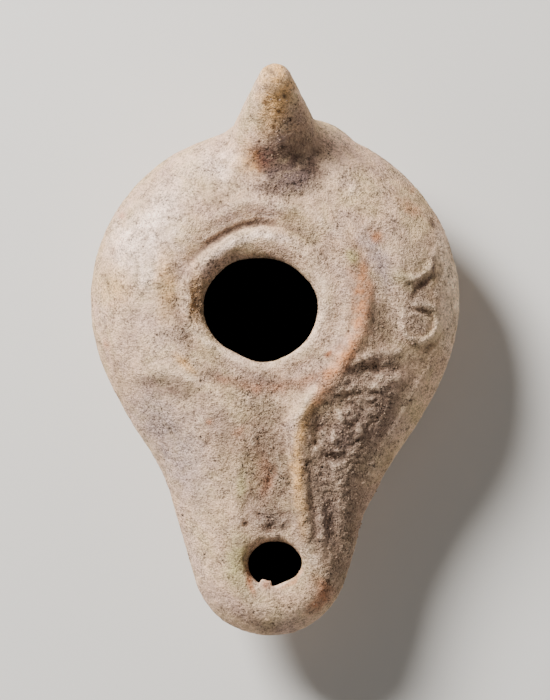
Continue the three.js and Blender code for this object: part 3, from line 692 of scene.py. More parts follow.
lamp = new_piece("fired_clay_lamp", (points * MM).tolist(), quads.tolist())
print("edges without two faces, before thinning", open_edges(lamp.data))
hollow_side = hollow_field(*points.T) < 0.6
below_seam = points[:, 2] < seam_height(points[:, 1]) - 1.5
plain = lamp.vertex_groups.new(name="plain sides")
plain.add(np.flatnonzero(hollow_side | below_seam).tolist(), 1.0, "REPLACE")
thin = lamp.modifiers.new("thin the plain sides", "DECIMATE")
thin.ratio = TRIANGLES / (2 * len(quads))
thin.vertex_group = plain.name
thin.vertex_group_factor = 1000
apply_modifiers(lamp)
print(triangle_count(lamp.data), "triangles", open_edges(lamp.data), "edges without two faces")

# %% [markdown]
# ## The fired skin
# Pressed clay is never smooth: it keeps soft finger lumps, the grain of its temper and the
# sandy crust of burial, which is coarse in the channel and on the lower right and fine on the
# rubbed upper left. That follows a rule over the whole surface, so Geometry Nodes make it:
# three noises, for lumps, grain and streaks, push each point along its normal, and a painted
# share says how sandy each place is.

# %% Helpers for node trees
def add_node(tree, kind, inputs=None, **settings):
    node = tree.nodes.new(kind)
    for name, value in settings.items():
        setattr(node, name, value)
    for key, value in (inputs or {}).items():
        if isinstance(value, bpy.types.NodeSocket):
            tree.links.new(value, node.inputs[key])
        else:
            node.inputs[key].default_value = value
    return node


def math_node(tree, operation, *values, clamp=False):
    node = add_node(tree, "ShaderNodeMath", dict(enumerate(values)), operation=operation, use_clamp=clamp)
    return node.outputs[0]


def times(tree, first, second, clamp=False):
    return math_node(tree, "MULTIPLY", first, second, clamp=clamp)


def plus(tree, first, second):
    return math_node(tree, "ADD", first, second)


def noise(tree, place, size, detail=2.0, rough=0.5, twist=0.0):
    """Noise whose blobs are about that many millimetres across."""
    inputs = {"Vector": place, "Scale": 1 / (size * MM), "Detail": detail}
    inputs.update({"Roughness": rough, "Distortion": twist})
    return add_node(tree, "ShaderNodeTexNoise", inputs).outputs[0]


def attribute_node(tree, name, data_type="FLOAT"):
    """The value of an attribute in a geometry tree, or the node that reads it in a material."""
    if tree.bl_idname == "GeometryNodeTree":
        node = add_node(tree, "GeometryNodeInputNamedAttribute", {"Name": name}, data_type=data_type)
        return node.outputs[0]
    return add_node(tree, "ShaderNodeAttribute", attribute_name=name)


def new_tree(name, sizes):
    """A geometry tree with a mesh in, named sizes and a material in, and a mesh out."""
    tree = bpy.data.node_groups.new(name, "GeometryNodeTree")
    tree.interface.new_socket("Geometry", in_out="OUTPUT", socket_type="NodeSocketGeometry")
    tree.interface.new_socket("Geometry", in_out="INPUT", socket_type="NodeSocketGeometry")
    for size, value in sizes.items():
        kind = "NodeSocketInt" if isinstance(value, int) else "NodeSocketFloat"
        tree.interface.new_socket(size, in_out="INPUT", socket_type=kind).default_value = value
    tree.interface.new_socket("Material", in_out="INPUT", socket_type="NodeSocketMaterial")
    return tree, tree.nodes.new("NodeGroupInput")


def end_tree(tree, geometry, material):
    real = add_node(tree, "GeometryNodeRealizeInstances", {"Geometry": geometry})
    dressed = add_node(tree, "GeometryNodeSetMaterial", {"Geometry": real.outputs[0], "Material": material})
    add_node(tree, "NodeGroupOutput", {"Geometry": dressed.outputs[0]})


def run_tree(piece, tree, inputs):
    """Adds the tree to a piece, sets its inputs by identifier and applies it."""
    modifier = piece.modifiers.new(tree.name, "NODES")
    modifier.node_group = tree
    for item in tree.interface.items_tree:
        if item.in_out == "INPUT" and item.name in inputs:
            modifier[item.identifier] = inputs[item.name]
    return apply_modifiers(piece)


print("node helpers ready")

# %% [markdown]
# ## Painted shares
# Some places can't be found by a rule, because burial and use put them where they are: the
# orange line where the slip wore off the ridge, the ochre tip of the handle, the stain beside
# the wick hole. Other strokes paint light and shade: painted shade on the handle's front, right
# side and foot, in grooves, pits and hollows, beside the ridge and on the lower left and lower
# right, and painted highlights on the upper left, along the rim, beside the wick hole and on the
# right edge. Each is one short stroke with a width, a colour and a strength, measured by the same
# function as the ornament. Numpy writes them to vertex attributes that materials can read.

# %% Where the crust is coarse
SANDY = [
    (line((19, -8), (14, -17), (9.6, -30), (10, -48)), 20, 1.1),
    (line((14, -12.5), (17, -17.5), (11, -25.5)), 9, 0.5),
    (line((-2, -14), (-1, -27), (-0.4, -38)), 10, 0.9),
    (line((-2.5, 18.5), (5.8, 18.7)), 5.5, 1.2),
    (line((-13.4, 4), (-13.2, -4.5)), 4.5, 1.2),
    (line((-16.5, -5), (-14, -5.4)), 4, 1),
    (line((-12, -12.5), (-4, -14), (4, -14), (9, -12)), 4, 0.8),
    (line((-3, -37), (2.5, -37)), 5.5, 1.3),
    (line((-9, -17), (-8, -30)), 9, 0.5),
    (line((23, 8), (24, -8)), 12, 0.5),
    (line((0, 34), (1, 24)), 9, 0.35),
]
FINE_CRUST = 0.45


def painted(x, y, strokes):
    return sum(share * stroke_share(x, y, path, width) for path, width, share in strokes)


print(len(SANDY), "coarse places")

# %% Stains, painted shade and painted highlights, from the top of the lamp to its nozzle
# Umber, plum, lilac and dark serve both as stain colours and as painted shade; shadow is painted shade;
# pale and cream are painted highlights.
ORANGE = (184, 128, 90)
OCHRE = (206, 160, 106)
RUST = (162, 98, 62)
UMBER_AND_SHADE = (106, 84, 72)
OLIVE = (180, 164, 118)
LILAC_AND_SHADE = (172, 150, 148)
PLUM_AND_SHADE = (120, 100, 94)
CREAM_HIGHLIGHT = (240, 212, 186)
PEACH = (208, 172, 142)
PALE_HIGHLIGHT = (252, 222, 204)
DARK_AND_SHADE = (48, 32, 24)
SHADOW = (70, 54, 46)
SIENNA = (140, 98, 68)
MAROON = (98, 64, 56)
# Small pits, each painted as a dark dot of shade and not cut into the mesh.
PIT_SHADE_SPOTS = [(-0.3, 28.2), (-2.6, 26.0), (1.1, 25.0), (-1.6, 32.1), (-0.6, 36.9), (1.0, 35.3), (1.5, 33.1),
        (2.5, 29.4), (-4.6, 22.2), (-18.9, 3.9), (-19.2, 2.0), (15.2, 8.1), (16.3, -3.6), (0.6, 30.6)]
STAINS_AND_PAINTED_LIGHT = [
    # Painted highlight on the upper-left shoulder, which faces the light, and along the lit crest of the
    # rim.
    (line((-17, 17), (-22, 9), (-21, 2)), 15, PALE_HIGHLIGHT, 0.85),
    (line((-13, 22), (-6, 22.6)), 9, PALE_HIGHLIGHT, 0.5),
    (line((-10.6, 6.4), (-7.4, 9.2), (-2.6, 10.8), (3, 9.8)), 2.2, PALE_HIGHLIGHT, 0.6),
    (line((-0.8, 44), (0.4, 35), (-1.2, 27.6)), 8.5, OCHRE, 0.95),
    # Painted shade down the handle's right side.
    (line((3.4, 32), (5.4, 27.6), (7.2, 23.8)), 6, UMBER_AND_SHADE, 0.5),
    (line((0.6, 27), (0.8, 25.5)), 4, LILAC_AND_SHADE, 0.6),
    (line((-4.6, 24.4), (-3.4, 21.2)), 8, OCHRE, 0.95),
    (line((-4.4, 24), (-0.6, 22.2)), 7, SIENNA, 0.9),
    (line((-2.8, 24.6), (0.6, 22.2)), 6.5, MAROON, 0.95),
    (line((-1.8, 24.2), (0.6, 22.6)), 4.5, MAROON, 0.7),
    # Painted shade on the handle's front, its right side and its foot, with some real dark crust at the
    # foot.
    (line((-2, 21), (3.4, 20.2)), 6, UMBER_AND_SHADE, 0.8),
    (line((2.6, 27), (4.6, 22.6), (3, 19.8)), 7.5, UMBER_AND_SHADE, 0.75),
    (line((-0.6, 25.4), (2.6, 22.6), (7.4, 21)), 7.5, UMBER_AND_SHADE, 0.85),
    (line((0, 22.6), (3.6, 22.4), (7.6, 20.2)), 6.5, UMBER_AND_SHADE, 0.9),
    (line((1.2, 25), (4.4, 22.4), (6.2, 19.2)), 6.5, SHADOW, 0.85),
    (line((5, 28), (7, 24.4), (6.4, 20.6)), 5, UMBER_AND_SHADE, 0.5),
    (line((-3.2, 18.6), (6.2, 18.9)), 4.2, PLUM_AND_SHADE, 0.55),
    (line((-1.6, 20.6), (2, 20.4), (6.4, 20)), 4.6, PLUM_AND_SHADE, 0.8),
    # The groove's red-brown stain, with painted shade laid along the groove.
    (line((-13.6, 6.6), (-11, 9.2), (-7.4, 11.4), (-4.4, 12.5), (-0.2, 12.8)), 1.9, UMBER_AND_SHADE, 0.8),
    (line((-8.6, 10.9), (-5.2, 12.4), (-1.2, 12.9)), 1.2, DARK_AND_SHADE, 0.5),
    (line((1.4, 12.4), (3.6, 11.4), (6, 9.8)), 2.2, UMBER_AND_SHADE, 0.5),
    (line((-18.4, 8.4), (-18.2, 2.6), (-18.2, -3.2)), 6, OCHRE, 0.7),
    (line((-29, 3), (-23, 1)), 10, OCHRE, 0.4),
    (line((-13, 5.4), (-13.2, -4.2)), 3.8, OCHRE, 0.6),
    (line((-12.9, 3.4), (-12.8, -3.2)), 2, UMBER_AND_SHADE, 0.6),
    (line((-17, -8.8), (-13.2, -12.2)), 2.6, OCHRE, 0.7),
    (line((-11.6, -11.2), (-8.6, -13.6)), 3.2, UMBER_AND_SHADE, 0.55),
    (line((-10, -13), (-3, -14.6), (3.4, -14.4), (8.6, -12)), 4, RUST, 0.4),
    (line((8.2, -9.6), (9.4, -8.6)), 1.6, RUST, 0.7),
    (line((12.6, 9.6), (13.9, 5.4), (14.2, 0.6), (13.4, -5)), 5.6, SIENNA, 0.8),
    (line((14.9, 5.2), (15.2, 1), (14.6, -2.5), (13.7, -6)), 3.8, ORANGE, 0.8),
    (line((14.9, -1), (14, -5.4), (11.8, -9.2), (8.4, -14.2), (6, -18.2)), 4.4, ORANGE, 0.95),
    (line((6, -17.5), (4.2, -21.5), (3.6, -26), (4, -32), (4.9, -39.5)), 3.6, OCHRE, 0.95),
    (line((12, 8.2), (13.4, 6)), 3.6, OLIVE, 0.8),
    (line((14, 11.2), (17.6, 6.4), (18.6, 2)), 5.5, LILAC_AND_SHADE, 0.7),
    (line((16.2, 11), (17.4, 9.8)), 3.6, ORANGE, 0.8),
    (line((21, 16.4), (24.2, 14.2)), 4, ORANGE, 0.6),
    (line((22.6, 18.6), (23.4, 18.2)), 2.2, ORANGE, 0.5),
    (line((26, 13.5), (26.8, 12)), 1.6, UMBER_AND_SHADE, 0.95),
    (line((19.8, 4.6), (21.6, 3.4), (22.6, 1.6)), 4, OLIVE, 0.6),
    (line((28, 9), (30, 2), (29.8, -6)), 5, OLIVE, 0.35),
    # Painted shade in the sunk groove beside the upper scroll.
    (line((26.4, 8.4), (26.4, 4.4), (24.8, 2.3), (22.2, 0.4)), 1.7, UMBER_AND_SHADE, 0.85),
    # Painted shade on the slope that falls away to the right of the ridge.
    (line((16.4, 0), (17.6, -5.6), (20.4, -10.6)), 8, UMBER_AND_SHADE, 0.5),
    (line((16, -12), (20, -11.4)), 3, UMBER_AND_SHADE, 0.45),
    # Painted shade on the lower right, which faces away from the light, over a few dark marks.
    (line((15, -17), (12.6, -22), (9, -27)), 7, PLUM_AND_SHADE, 0.6),
    # Painted shade in the rosette's sunk hollow.
    (line((7, -20.6), (8.2, -21.4)), 3, UMBER_AND_SHADE, 0.7),
    (line((7.4, -29), (9.2, -40)), 8, PLUM_AND_SHADE, 0.35),
    # Painted shade down the lower right and the nozzle's right side.
    (line((16, -22), (13.4, -30), (11.6, -40), (11.2, -50)), 6.5, UMBER_AND_SHADE, 0.25),
    (line((22, -10), (19, -18), (15, -26)), 8, UMBER_AND_SHADE, 0.35),
    # Painted shade: the lower left faces away from the light, and the worn groove below the disc lies in
    # shade.
    (line((-22, -15), (-17, -24), (-13, -34)), 12, LILAC_AND_SHADE, 0.6),
    (line((-23, -13.4), (-18.6, -14.7), (-11.4, -15.9)), 4.2, UMBER_AND_SHADE, 0.8),
    (line((-11.2, -19.9), (-10.6, -20.6)), 1.9, RUST, 0.8),
    # Painted shade in the small hollow beside a lump.
    (line((-11.4, -23), (-10.6, -23.8)), 3, UMBER_AND_SHADE, 0.65),
    (line((-6.6, -21.4), (-5.8, -22.6)), 4, RUST, 0.5),
    (line((-2.6, -25), (-1.4, -29), (-1.6, -33.6)), 5, RUST, 0.35),
    (line((-5.6, -28), (-5.6, -34.6)), 2.8, OLIVE, 0.7),
    (line((-6.2, -38.6), (-6.4, -46), (-4.6, -49.6)), 5.8, OLIVE, 0.95),
    (line((-4.4, -43.6), (-4.3, -47), (-3.4, -49.4)), 2, RUST, 0.85),
    (line((-3, -36.6), (2.6, -36.8)), 4, PLUM_AND_SHADE, 0.5),
    (line((-1, -50), (2.6, -50.4), (5, -48)), 5.5, PEACH, 0.7),
    # Painted highlight on the bowl's slope right of the wick hole, which faces the light.
    (line((5.6, -43.6), (6.6, -43)), 3.4, CREAM_HIGHLIGHT, 0.6),
    (line((4.7, -44.8), (3.2, -47), (0.4, -48.4)), 1.3, ORANGE, 0.8),
    (line((6.8, -46.4), (8.4, -49), (5.6, -52.2)), 4.8, RUST, 0.75),
    # Painted shade in the pit beside the wick hole.
    (line((8.8, -47.4), (9, -46.8)), 1.1, DARK_AND_SHADE, 0.95),
    (line((-9, -51), (0, -55.6), (8, -53)), 3.6, PLUM_AND_SHADE, 0.35),
    (line((-1.9, -47.2), (-1, -47.9)), 2.8, RUST, 0.8),
    # Painted highlight on the right edge, which a light from the right picks out.
    (line((28, 12), (29.4, 3), (28.8, -9)), 6, CREAM_HIGHLIGHT, 0.85),
    (line((-26, 14.6), (-25.2, 13.6)), 2.2, RUST, 0.5),
    (line((-28.3, -6.8), (-27.8, -8.2)), 2.2, RUST, 0.6),
    (line((-29.4, -3.8), (-29.2, -4.4)), 0.9, DARK_AND_SHADE, 0.9),
]
# Painted shade: a dark dot for each pit.
STAINS_AND_PAINTED_LIGHT += [(line((x - 0.3, y - 0.2), (x + 0.3, y + 0.2)), 1.3, DARK_AND_SHADE, 0.85) for x, y in PIT_SHADE_SPOTS]


def linear(colour):
    """A display colour, 0 to 255, as the light that it stands for."""
    share = np.array(colour) / 255
    return np.where(share <= 0.04045, share / 12.92, ((share + 0.055) / 1.055) ** 2.4)


def stain_and_light_colours(x, y):
    """Red, green, blue and strength of the stains and the painted light and shade at each point, later ones
    over earlier ones.
    """
    colours = np.zeros((len(x), 4))
    for path, width, colour, strength in STAINS_AND_PAINTED_LIGHT:
        share = strength * stroke_share(x, y, path, width)
        total = share + colours[:, 3] * (1 - share)
        mixed = colours[:, :3] * (colours[:, 3] * (1 - share))[:, None] + linear(colour) * share[:, None]
        colours[:, :3] = np.where(total[:, None] > 1e-4, mixed / np.maximum(total, 1e-4)[:, None], 0)
        colours[:, 3] = total
    return colours


print(len(STAINS_AND_PAINTED_LIGHT), "stains_and_light")

# %% Write the shares to the mesh
def write_share(mesh, name, values, kind="FLOAT"):
    attribute = mesh.attributes.new(name, kind, "POINT")
    key = "color" if kind == "FLOAT_COLOR" else "value"
    attribute.data.foreach_set(key, np.ascontiguousarray(values, dtype=np.float32).ravel())


# Painted shade: the clay inside the hollow and down both holes' throats is painted near black to stand for
# the shade inside the lamp.
def inside_shade_share(places):
    """0 outside and at the holes' lips, 1 a little way inside."""
    throat = np.minimum(fill_hole(*places.T), wick_hole(*places.T))
    below_lip = top_height(places[:, 1]) - places[:, 2]
    in_throat = np.where(throat < 0.8, ramp(below_lip, 1.6, 3.4), 0)
    return np.maximum(ramp(-hollow_field(*places.T), -0.9, -0.2), in_throat)


places = vertex_places(lamp.data)
x, y = places[:, 0], places[:, 1]
on_top = ramp(places[:, 2], SEAM_HEIGHT - 2, SEAM_HEIGHT + 1)
inside_shade = inside_shade_share(places)
sandy = FINE_CRUST + painted(x, y, SANDY) * on_top
write_share(lamp.data, "sandy", sandy * (1 - 0.6 * inside_shade))
write_share(lamp.data, "inside_shade", inside_shade)
tint = stain_and_light_colours(x, y)
tint[:, 3] *= on_top * (1 - inside_shade)
write_share(lamp.data, "tint", tint, "FLOAT_COLOR")
print("mean strength of the stains", float(tint[:, 3].mean().round(3)))

# %% Push the skin out and in
def skin_tree():
    tree, sizes = new_tree("fired skin", {
        "Lump size": 5.0, "Lump depth": 0.3, "Grain size": 0.8, "Grain depth": 0.5,
        "Streak size": 2.2, "Streak depth": 0.45,
    })
    place = add_node(tree, "GeometryNodeInputPosition").outputs[0]
    normal = add_node(tree, "GeometryNodeInputNormal").outputs[0]
    share = attribute_node(tree, "sandy")

    def push(size, depth, position, detail):
        scale = math_node(tree, "DIVIDE", 1 / MM, size)
        inputs = {"Vector": position, "Scale": scale, "Detail": detail, "Roughness": 0.6}
        value = add_node(tree, "ShaderNodeTexNoise", inputs).outputs[0]
        return times(tree, math_node(tree, "SUBTRACT", value, 0.5), depth)

    turned = add_node(tree, "ShaderNodeVectorRotate", {"Vector": place, "Angle": math.radians(-50)})
    stretch = {0: turned.outputs[0], 1: (0.35, 1.0, 1.0)}
    drawn = add_node(tree, "ShaderNodeVectorMath", stretch, operation="MULTIPLY")
    lumps = push(sizes.outputs["Lump size"], sizes.outputs["Lump depth"], place, 1.0)
    grain = push(sizes.outputs["Grain size"], sizes.outputs["Grain depth"], place, 2.0)
    streaks = push(sizes.outputs["Streak size"], sizes.outputs["Streak depth"], drawn.outputs[0], 2.0)
    crust = times(tree, plus(tree, grain, streaks), share)
    total = times(tree, plus(tree, lumps, crust), MM)
    offset = add_node(tree, "ShaderNodeVectorMath", {0: normal, "Scale": total}, operation="SCALE")
    moved = add_node(tree, "GeometryNodeSetPosition", {
        "Geometry": sizes.outputs["Geometry"], "Offset": offset.outputs[0],
    })
    end_tree(tree, moved.outputs[0], sizes.outputs["Material"])
    return tree


def bare_material(name):
    material = bpy.data.materials.new(name)
    material.use_nodes = True
    return material


clay = bare_material("fired_clay")
run_tree(lamp, skin_tree(), {"Material": clay})
print("skin", triangle_count(lamp.data), "triangles", [m.name for m in lamp.data.materials])

# %% [markdown]
# ## Dirt in the hollows, wear on the crests
# Dirt settles where the surface is hollow and hands rub it off where it stands out. To find
# both, a copy of the points is smoothed many times: where the smoothed skin lies above the
# real one the place is a hollow, and where it lies below the place is a crest.

# %% Measure hollows and crests
def smoothed(mesh, places, rounds):
    ends = np.empty(len(mesh.edges) * 2, np.int32)
    mesh.edges.foreach_get("vertices", ends)
    first, second = ends.reshape(-1, 2).T
    neighbours = np.bincount(ends, minlength=len(places))[:, None]
    moved = places.copy()
    for _ in range(rounds):
        total = np.empty_like(moved)
        for axis in range(3):
            total[:, axis] = (np.bincount(first, moved[second, axis], len(places))
                              + np.bincount(second, moved[first, axis], len(places)))
        moved = (moved + total / neighbours) / 2
    return moved


def vertex_normals(mesh):
    normals = np.empty(len(mesh.vertices) * 3)
    mesh.vertex_normals.foreach_get("vector", normals)
    return normals.reshape(-1, 3)


places = vertex_places(lamp.data)
normals = vertex_normals(lamp.data)
near = ((smoothed(lamp.data, places, 10) - places) * normals).sum(1)
wide = ((smoothed(lamp.data, places, 60) - places) * normals).sum(1)
write_share(lamp.data, "dirt", np.clip(0.7 * ramp(near, 0.015, 0.14) + 0.6 * ramp(wide, 0.06, 0.4), 0, 1))
write_share(lamp.data, "worn", np.clip(0.6 * ramp(-near, 0.02, 0.12) + 0.6 * ramp(-wide, 0.08, 0.4), 0, 1))
print("hollows", float((near > 0.05).mean().round(3)), "crests", float((near < -0.05).mean().round(3)))

# %% [markdown]
# ## The clay's material
# Fired clay is matt and never one colour: clouds of pink and buff from the kiln, a speckle of
# temper, pinholes painted as dots of shade, dark specks of painted shade on the grain, dust. All
# of it is built from noise on Object coordinates, so it stays put in every view and can be baked.
# The stains with the strokes of painted light and shade, the dirt, the wear and the painted
# shade inside the hollow come from the painted shares, each broken up by noise so that no
# stroke has a drawn edge.

# %% Material helpers
def shade(colour):
    return (*linear(colour), 1)


def mix(tree, share, first, second, blend="MIX"):
    node = add_node(tree, "ShaderNodeMix", data_type="RGBA", blend_type=blend)
    for socket, value in zip((node.inputs[0], node.inputs[6], node.inputs[7]), (share, first, second)):
        if isinstance(value, bpy.types.NodeSocket):
            tree.links.new(value, socket)
        else:
            socket.default_value = value
    return node.outputs[2]


def laid_over(tree, colour, share, upper):
    return mix(tree, share, colour, shade(upper))


def remap(tree, value, start, end, low_value=0.0, high_value=1.0):
    inputs = {"Value": value, "From Min": start, "From Max": end, "To Min": low_value, "To Max": high_value}
    return add_node(tree, "ShaderNodeMapRange", inputs).outputs[0]


print("material helpers ready")

# %% Fired clay
BUFF = (214, 178, 146)
LIGHT_BUFF = (218, 186, 158)
STRAW = (206, 182, 136)
PINK = (214, 176, 162)
FAWN = (188, 162, 146)
TAWNY = (190, 148, 112)
CRUST = (132, 110, 96)
RUBBED = (236, 208, 180)
DIRT = (108, 84, 68)
TEMPER = (122, 92, 76)
GRAIN_SHADE = (100, 78, 64)
PINHOLE_SHADE = (58, 38, 28)
INSIDE_SHADE = (16, 13, 11)


def fill_clay(material):
    tree = material.node_tree
    shader = tree.nodes["Principled BSDF"]
    place = add_node(tree, "ShaderNodeTexCoord").outputs["Object"]
    share = {name: attribute_node(tree, name).outputs["Fac"] for name in ("sandy", "inside_shade", "dirt", "worn")}
    stains_and_light = attribute_node(tree, "tint")

    cloud = noise(tree, place, 11, 3, 0.55)
    patch = noise(tree, place, 4.5, 4, 0.6, 0.3)
    mottle = noise(tree, place, 1.6, 4, 0.65)
    grain = noise(tree, place, 0.46, 2, 0.7)
    fine = noise(tree, place, 0.27, 2, 0.7)

    hue = noise(tree, place, 7, 3, 0.6, 0.4)
    colour = laid_over(tree, shade(BUFF), remap(tree, cloud, 0.36, 0.64), LIGHT_BUFF)
    colour = laid_over(tree, colour, remap(tree, hue, 0.5, 0.66, 0, 0.55), STRAW)
    colour = laid_over(tree, colour, remap(tree, hue, 0.48, 0.34, 0, 0.5), PINK)
    colour = laid_over(tree, colour, remap(tree, patch, 0.5, 0.72, 0, 0.55), FAWN)
    colour = laid_over(tree, colour, remap(tree, mottle, 0.55, 0.75, 0, 0.5), TAWNY)
    crust = remap(tree, plus(tree, share["sandy"], mottle), 0.8, 1.9, 0, 0.75)
    colour = laid_over(tree, colour, crust, CRUST)

    worn = times(tree, share["worn"], remap(tree, mottle, 0.35, 0.6, 0.15, 0.55), clamp=True)
    colour = laid_over(tree, colour, worn, RUBBED)
    dirt = times(tree, share["dirt"], remap(tree, mottle, 0.3, 0.65, 0.3, 1.0), clamp=True)
    colour = laid_over(tree, colour, times(tree, dirt, 0.75), DIRT)
    breakup = remap(tree, plus(tree, patch, mottle), 0.8, 1.15, 0.6, 1.25)
    strength = times(tree, stains_and_light.outputs["Alpha"], breakup, clamp=True)
    colour = mix(tree, strength, colour, stains_and_light.outputs["Color"])

    speckle = plus(tree, times(tree, grain, 0.5), times(tree, fine, 0.5))
    sandy_swing = remap(tree, share["sandy"], 0.4, 1.4, 0.72, 0.92)
    swing = times(tree, sandy_swing, remap(tree, patch, 0.35, 0.62, 0.55, 1.1))
    tone = times(tree, remap(tree, speckle, 0.38, 0.60, -0.74, 0.92), swing)
    broad = noise(tree, place, 3.2, 3, 0.6, 0.5)
    tone = plus(tree, tone, remap(tree, broad, 0.34, 0.64, -0.26, 0.14))
    tone = plus(tree, tone, remap(tree, mottle, 0.36, 0.64, -0.26, 0.18))
    colour = mix(tree, 1.0, colour, plus(tree, tone, 1.0), "MULTIPLY")
    temper = noise(tree, place, 0.75, 3, 0.75)
    colour = laid_over(tree, colour, times(tree, remap(tree, temper, 0.6, 0.75), 0.45), TEMPER)
    # Painted shade: dark specks on the sandy grain stand for the grains' shaded sides.
    grain_shade_share = remap(tree, share["sandy"], 0.4, 1.3, 0.15, 0.8)
    grain_shade = times(tree, remap(tree, grain, 0.55, 0.68), grain_shade_share)
    colour = laid_over(tree, colour, grain_shade, GRAIN_SHADE)

    # Painted shade: pinholes are dark dots, with no hole in the mesh.
    cells = add_node(tree, "ShaderNodeTexVoronoi", {"Vector": place, "Scale": 1 / (4.2 * MM)})
    chance = add_node(tree, "ShaderNodeSeparateColor", {0: cells.outputs["Color"]})
    radius = remap(tree, chance.outputs[0], 0.45, 1.0, 0.0, 0.075)
    hole = math_node(tree, "LESS_THAN", cells.outputs["Distance"], radius)
    colour = laid_over(tree, colour, times(tree, hole, 0.75), PINHOLE_SHADE)
    # Painted shade: near black inside the hollow and down the holes' throats.
    colour = laid_over(tree, colour, share["inside_shade"], INSIDE_SHADE)

    relief_mix = plus(tree, times(tree, speckle, 0.9), times(tree, mottle, 0.5))
    depth = remap(tree, share["sandy"], 0.1, 1.2, 0.6, 1.0)
    rough_skin = add_node(tree, "ShaderNodeBump", {
        "Height": relief_mix, "Strength": depth, "Distance": 0.85 * MM,
    })
    tree.links.new(colour, shader.inputs["Base Color"])
    tree.links.new(remap(tree, mottle, 0.3, 0.7, 0.84, 0.98), shader.inputs["Roughness"])
    tree.links.new(rough_skin.outputs[0], shader.inputs["Normal"])
    shader.inputs["Specular IOR Level"].default_value = 0.25


fill_clay(clay)
print("clay nodes", len(clay.node_tree.nodes))

# %% [markdown]
# ## Sand that clings to the crust
# Grains of burial sand sit on the coarse places. Geometry Nodes scatter them: points are
# spread over the skin with a fixed seed, more of them where it is sandy, each point carries a
# small squashed ball turned and sized at random, and the instances are made real at the end.

# %% Scatter the grains
def grit_tree():
    tree, sizes = new_tree("clinging sand", {
        "Grains per square cm": 170.0, "Smallest": 0.06, "Largest": 0.17, "Seed": 7,
    })
    share = attribute_node(tree, "sandy")
    inside_shade = attribute_node(tree, "inside_shade")
    wanted = times(tree, remap(tree, share, 0.45, 1.5), math_node(tree, "SUBTRACT", 1.0, inside_shade))
    density = times(tree, sizes.outputs["Grains per square cm"], 10000)
    spread = add_node(tree, "GeometryNodeDistributePointsOnFaces", {
        "Mesh": sizes.outputs["Geometry"], "Density": times(tree, density, wanted),
        "Seed": sizes.outputs["Seed"],
    })
    grain = add_node(tree, "GeometryNodeMeshIcoSphere", {"Radius": MM, "Subdivisions": 1})

    def random(kind, lowest, highest, salt):
        node = add_node(tree, "FunctionNodeRandomValue", data_type=kind)
        sockets = [s for s in node.inputs if s.enabled and s.name in ("Min", "Max")]
        for socket, value in zip(sockets, (lowest, highest)):
            if isinstance(value, bpy.types.NodeSocket):
                tree.links.new(value, socket)
            else:
                socket.default_value = value
        tree.links.new(plus(tree, sizes.outputs["Seed"], salt), node.inputs["Seed"])
        return next(s for s in node.outputs if s.enabled)

    turn = random("FLOAT_VECTOR", (0, 0, 0), (6.28, 6.28, 6.28), 1)
    squash = random("FLOAT_VECTOR", (0.6, 0.6, 0.6), (1.4, 1.4, 1.4), 2)
    grain_size = random("FLOAT", sizes.outputs["Smallest"], sizes.outputs["Largest"], 3)
    scale = add_node(tree, "ShaderNodeVectorMath", {0: squash, "Scale": grain_size}, operation="SCALE")
    placed = add_node(tree, "GeometryNodeInstanceOnPoints", {
        "Points": spread.outputs["Points"], "Instance": grain.outputs["Mesh"],
        "Rotation": turn, "Scale": scale.outputs[0],
    })
    end_tree(tree, placed.outputs[0], sizes.outputs["Material"])
    return tree


BROWN_SAND = (122, 96, 78)
BUFF_SAND = (184, 156, 132)


def fill_sand(material):
    tree = material.node_tree
    shader = tree.nodes["Principled BSDF"]
    place = add_node(tree, "ShaderNodeTexCoord").outputs["Object"]
    tone = noise(tree, place, 0.6, 2)
    colour = laid_over(tree, shade(BROWN_SAND), remap(tree, tone, 0.35, 0.65), BUFF_SAND)
    tree.links.new(colour, shader.inputs["Base Color"])
    shader.inputs["Roughness"].default_value = 0.8


sand = bare_material("burial_sand")
fill_sand(sand)
grit = bpy.data.objects.new("clinging_sand", lamp.data.copy())
bpy.context.scene.collection.objects.link(grit)
run_tree(grit, grit_tree(), {"Material": sand})
print("sand", triangle_count(grit.data), "triangles")

# %% [markdown]
# ## Onto the imported frame
# The mesh stands for the imported node, which it hides, and moves with its body.

# %% Ride and replace
lamp.data.shade_smooth()
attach(lamp, "root")
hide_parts("lamp_body")
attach(grit, "root")
print("lamp", [round(v, 4) for v in lamp.dimensions])

# %% [markdown]
# ## The stage
# The lamp stands on a plain pale floor. A soft light stands at the upper left, where it rakes
# over the relief as in the photograph. Two weak lights, on the right and in front, and a faint
# pale world fill the shadows a little. The camera looks straight down from 60 cm above the seam.

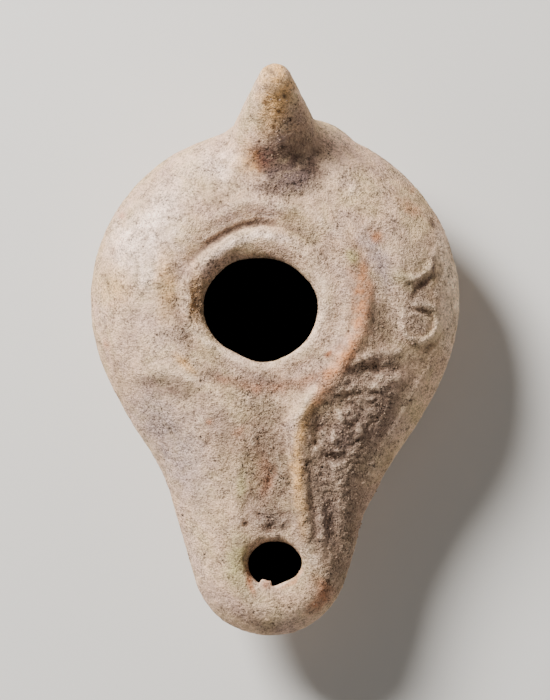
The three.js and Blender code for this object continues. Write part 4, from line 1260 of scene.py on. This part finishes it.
# %% Floor, lights and camera
FLOOR_HALF = 1.2
floor = new_piece("floor", [(-FLOOR_HALF, -FLOOR_HALF, 0), (FLOOR_HALF, -FLOOR_HALF, 0),
                            (FLOOR_HALF, FLOOR_HALF, 0), (-FLOOR_HALF, FLOOR_HALF, 0)], [(0, 1, 2, 3)])
paper = bare_material("pale floor")
paper.node_tree.nodes["Principled BSDF"].inputs["Base Color"].default_value = (0.72, 0.71, 0.69, 1)
paper.node_tree.nodes["Principled BSDF"].inputs["Roughness"].default_value = 0.9
floor.data.materials.append(paper)


def add_light(name, place, size, watts, colour):
    data = bpy.data.lights.new(name, "AREA")
    data.shape = "DISK"
    data.size = size
    data.energy = watts
    data.color = colour
    light = bpy.data.objects.new(name, data)
    light.location = place
    aim = Vector((0, -0.01, 0.02)) - light.location
    light.rotation_euler = aim.to_track_quat("-Z", "Y").to_euler()
    bpy.context.scene.collection.objects.link(light)
    return light


add_light("window light", (-0.42, 0.46, 0.50), 0.3, 17.8, (1.0, 0.97, 0.93))
add_light("pale wall on the right", (0.60, 0.02, 0.12), 0.4, 1.0, (1.0, 0.95, 0.88))
add_light("pale wall in front", (-0.20, -0.60, 0.20), 0.4, 0.9, (1.0, 0.96, 0.90))

world = bpy.data.worlds.new("studio")
bpy.context.scene.world = world
world.use_nodes = True
world.node_tree.nodes["Background"].inputs["Color"].default_value = (1, 0.97, 0.94, 1)
world.node_tree.nodes["Background"].inputs["Strength"].default_value = 0.09

FRAME_SIDE = 24
CAMERA_HEIGHT = 0.615
camera_data = bpy.data.cameras.new("camera")
camera_data.sensor_fit = "VERTICAL"
camera_data.sensor_height = FRAME_SIDE
camera_data.lens = 121.9
camera = bpy.data.objects.new("camera", camera_data)
camera.location = (0, -0.0084, CAMERA_HEIGHT)
bpy.context.scene.collection.objects.link(camera)
bpy.context.scene.camera = camera
to_seam = CAMERA_HEIGHT / MM - SEAM_HEIGHT
print("camera sees", round(FRAME_SIDE / camera_data.lens * to_seam, 1), "mm of height at the seam's level")
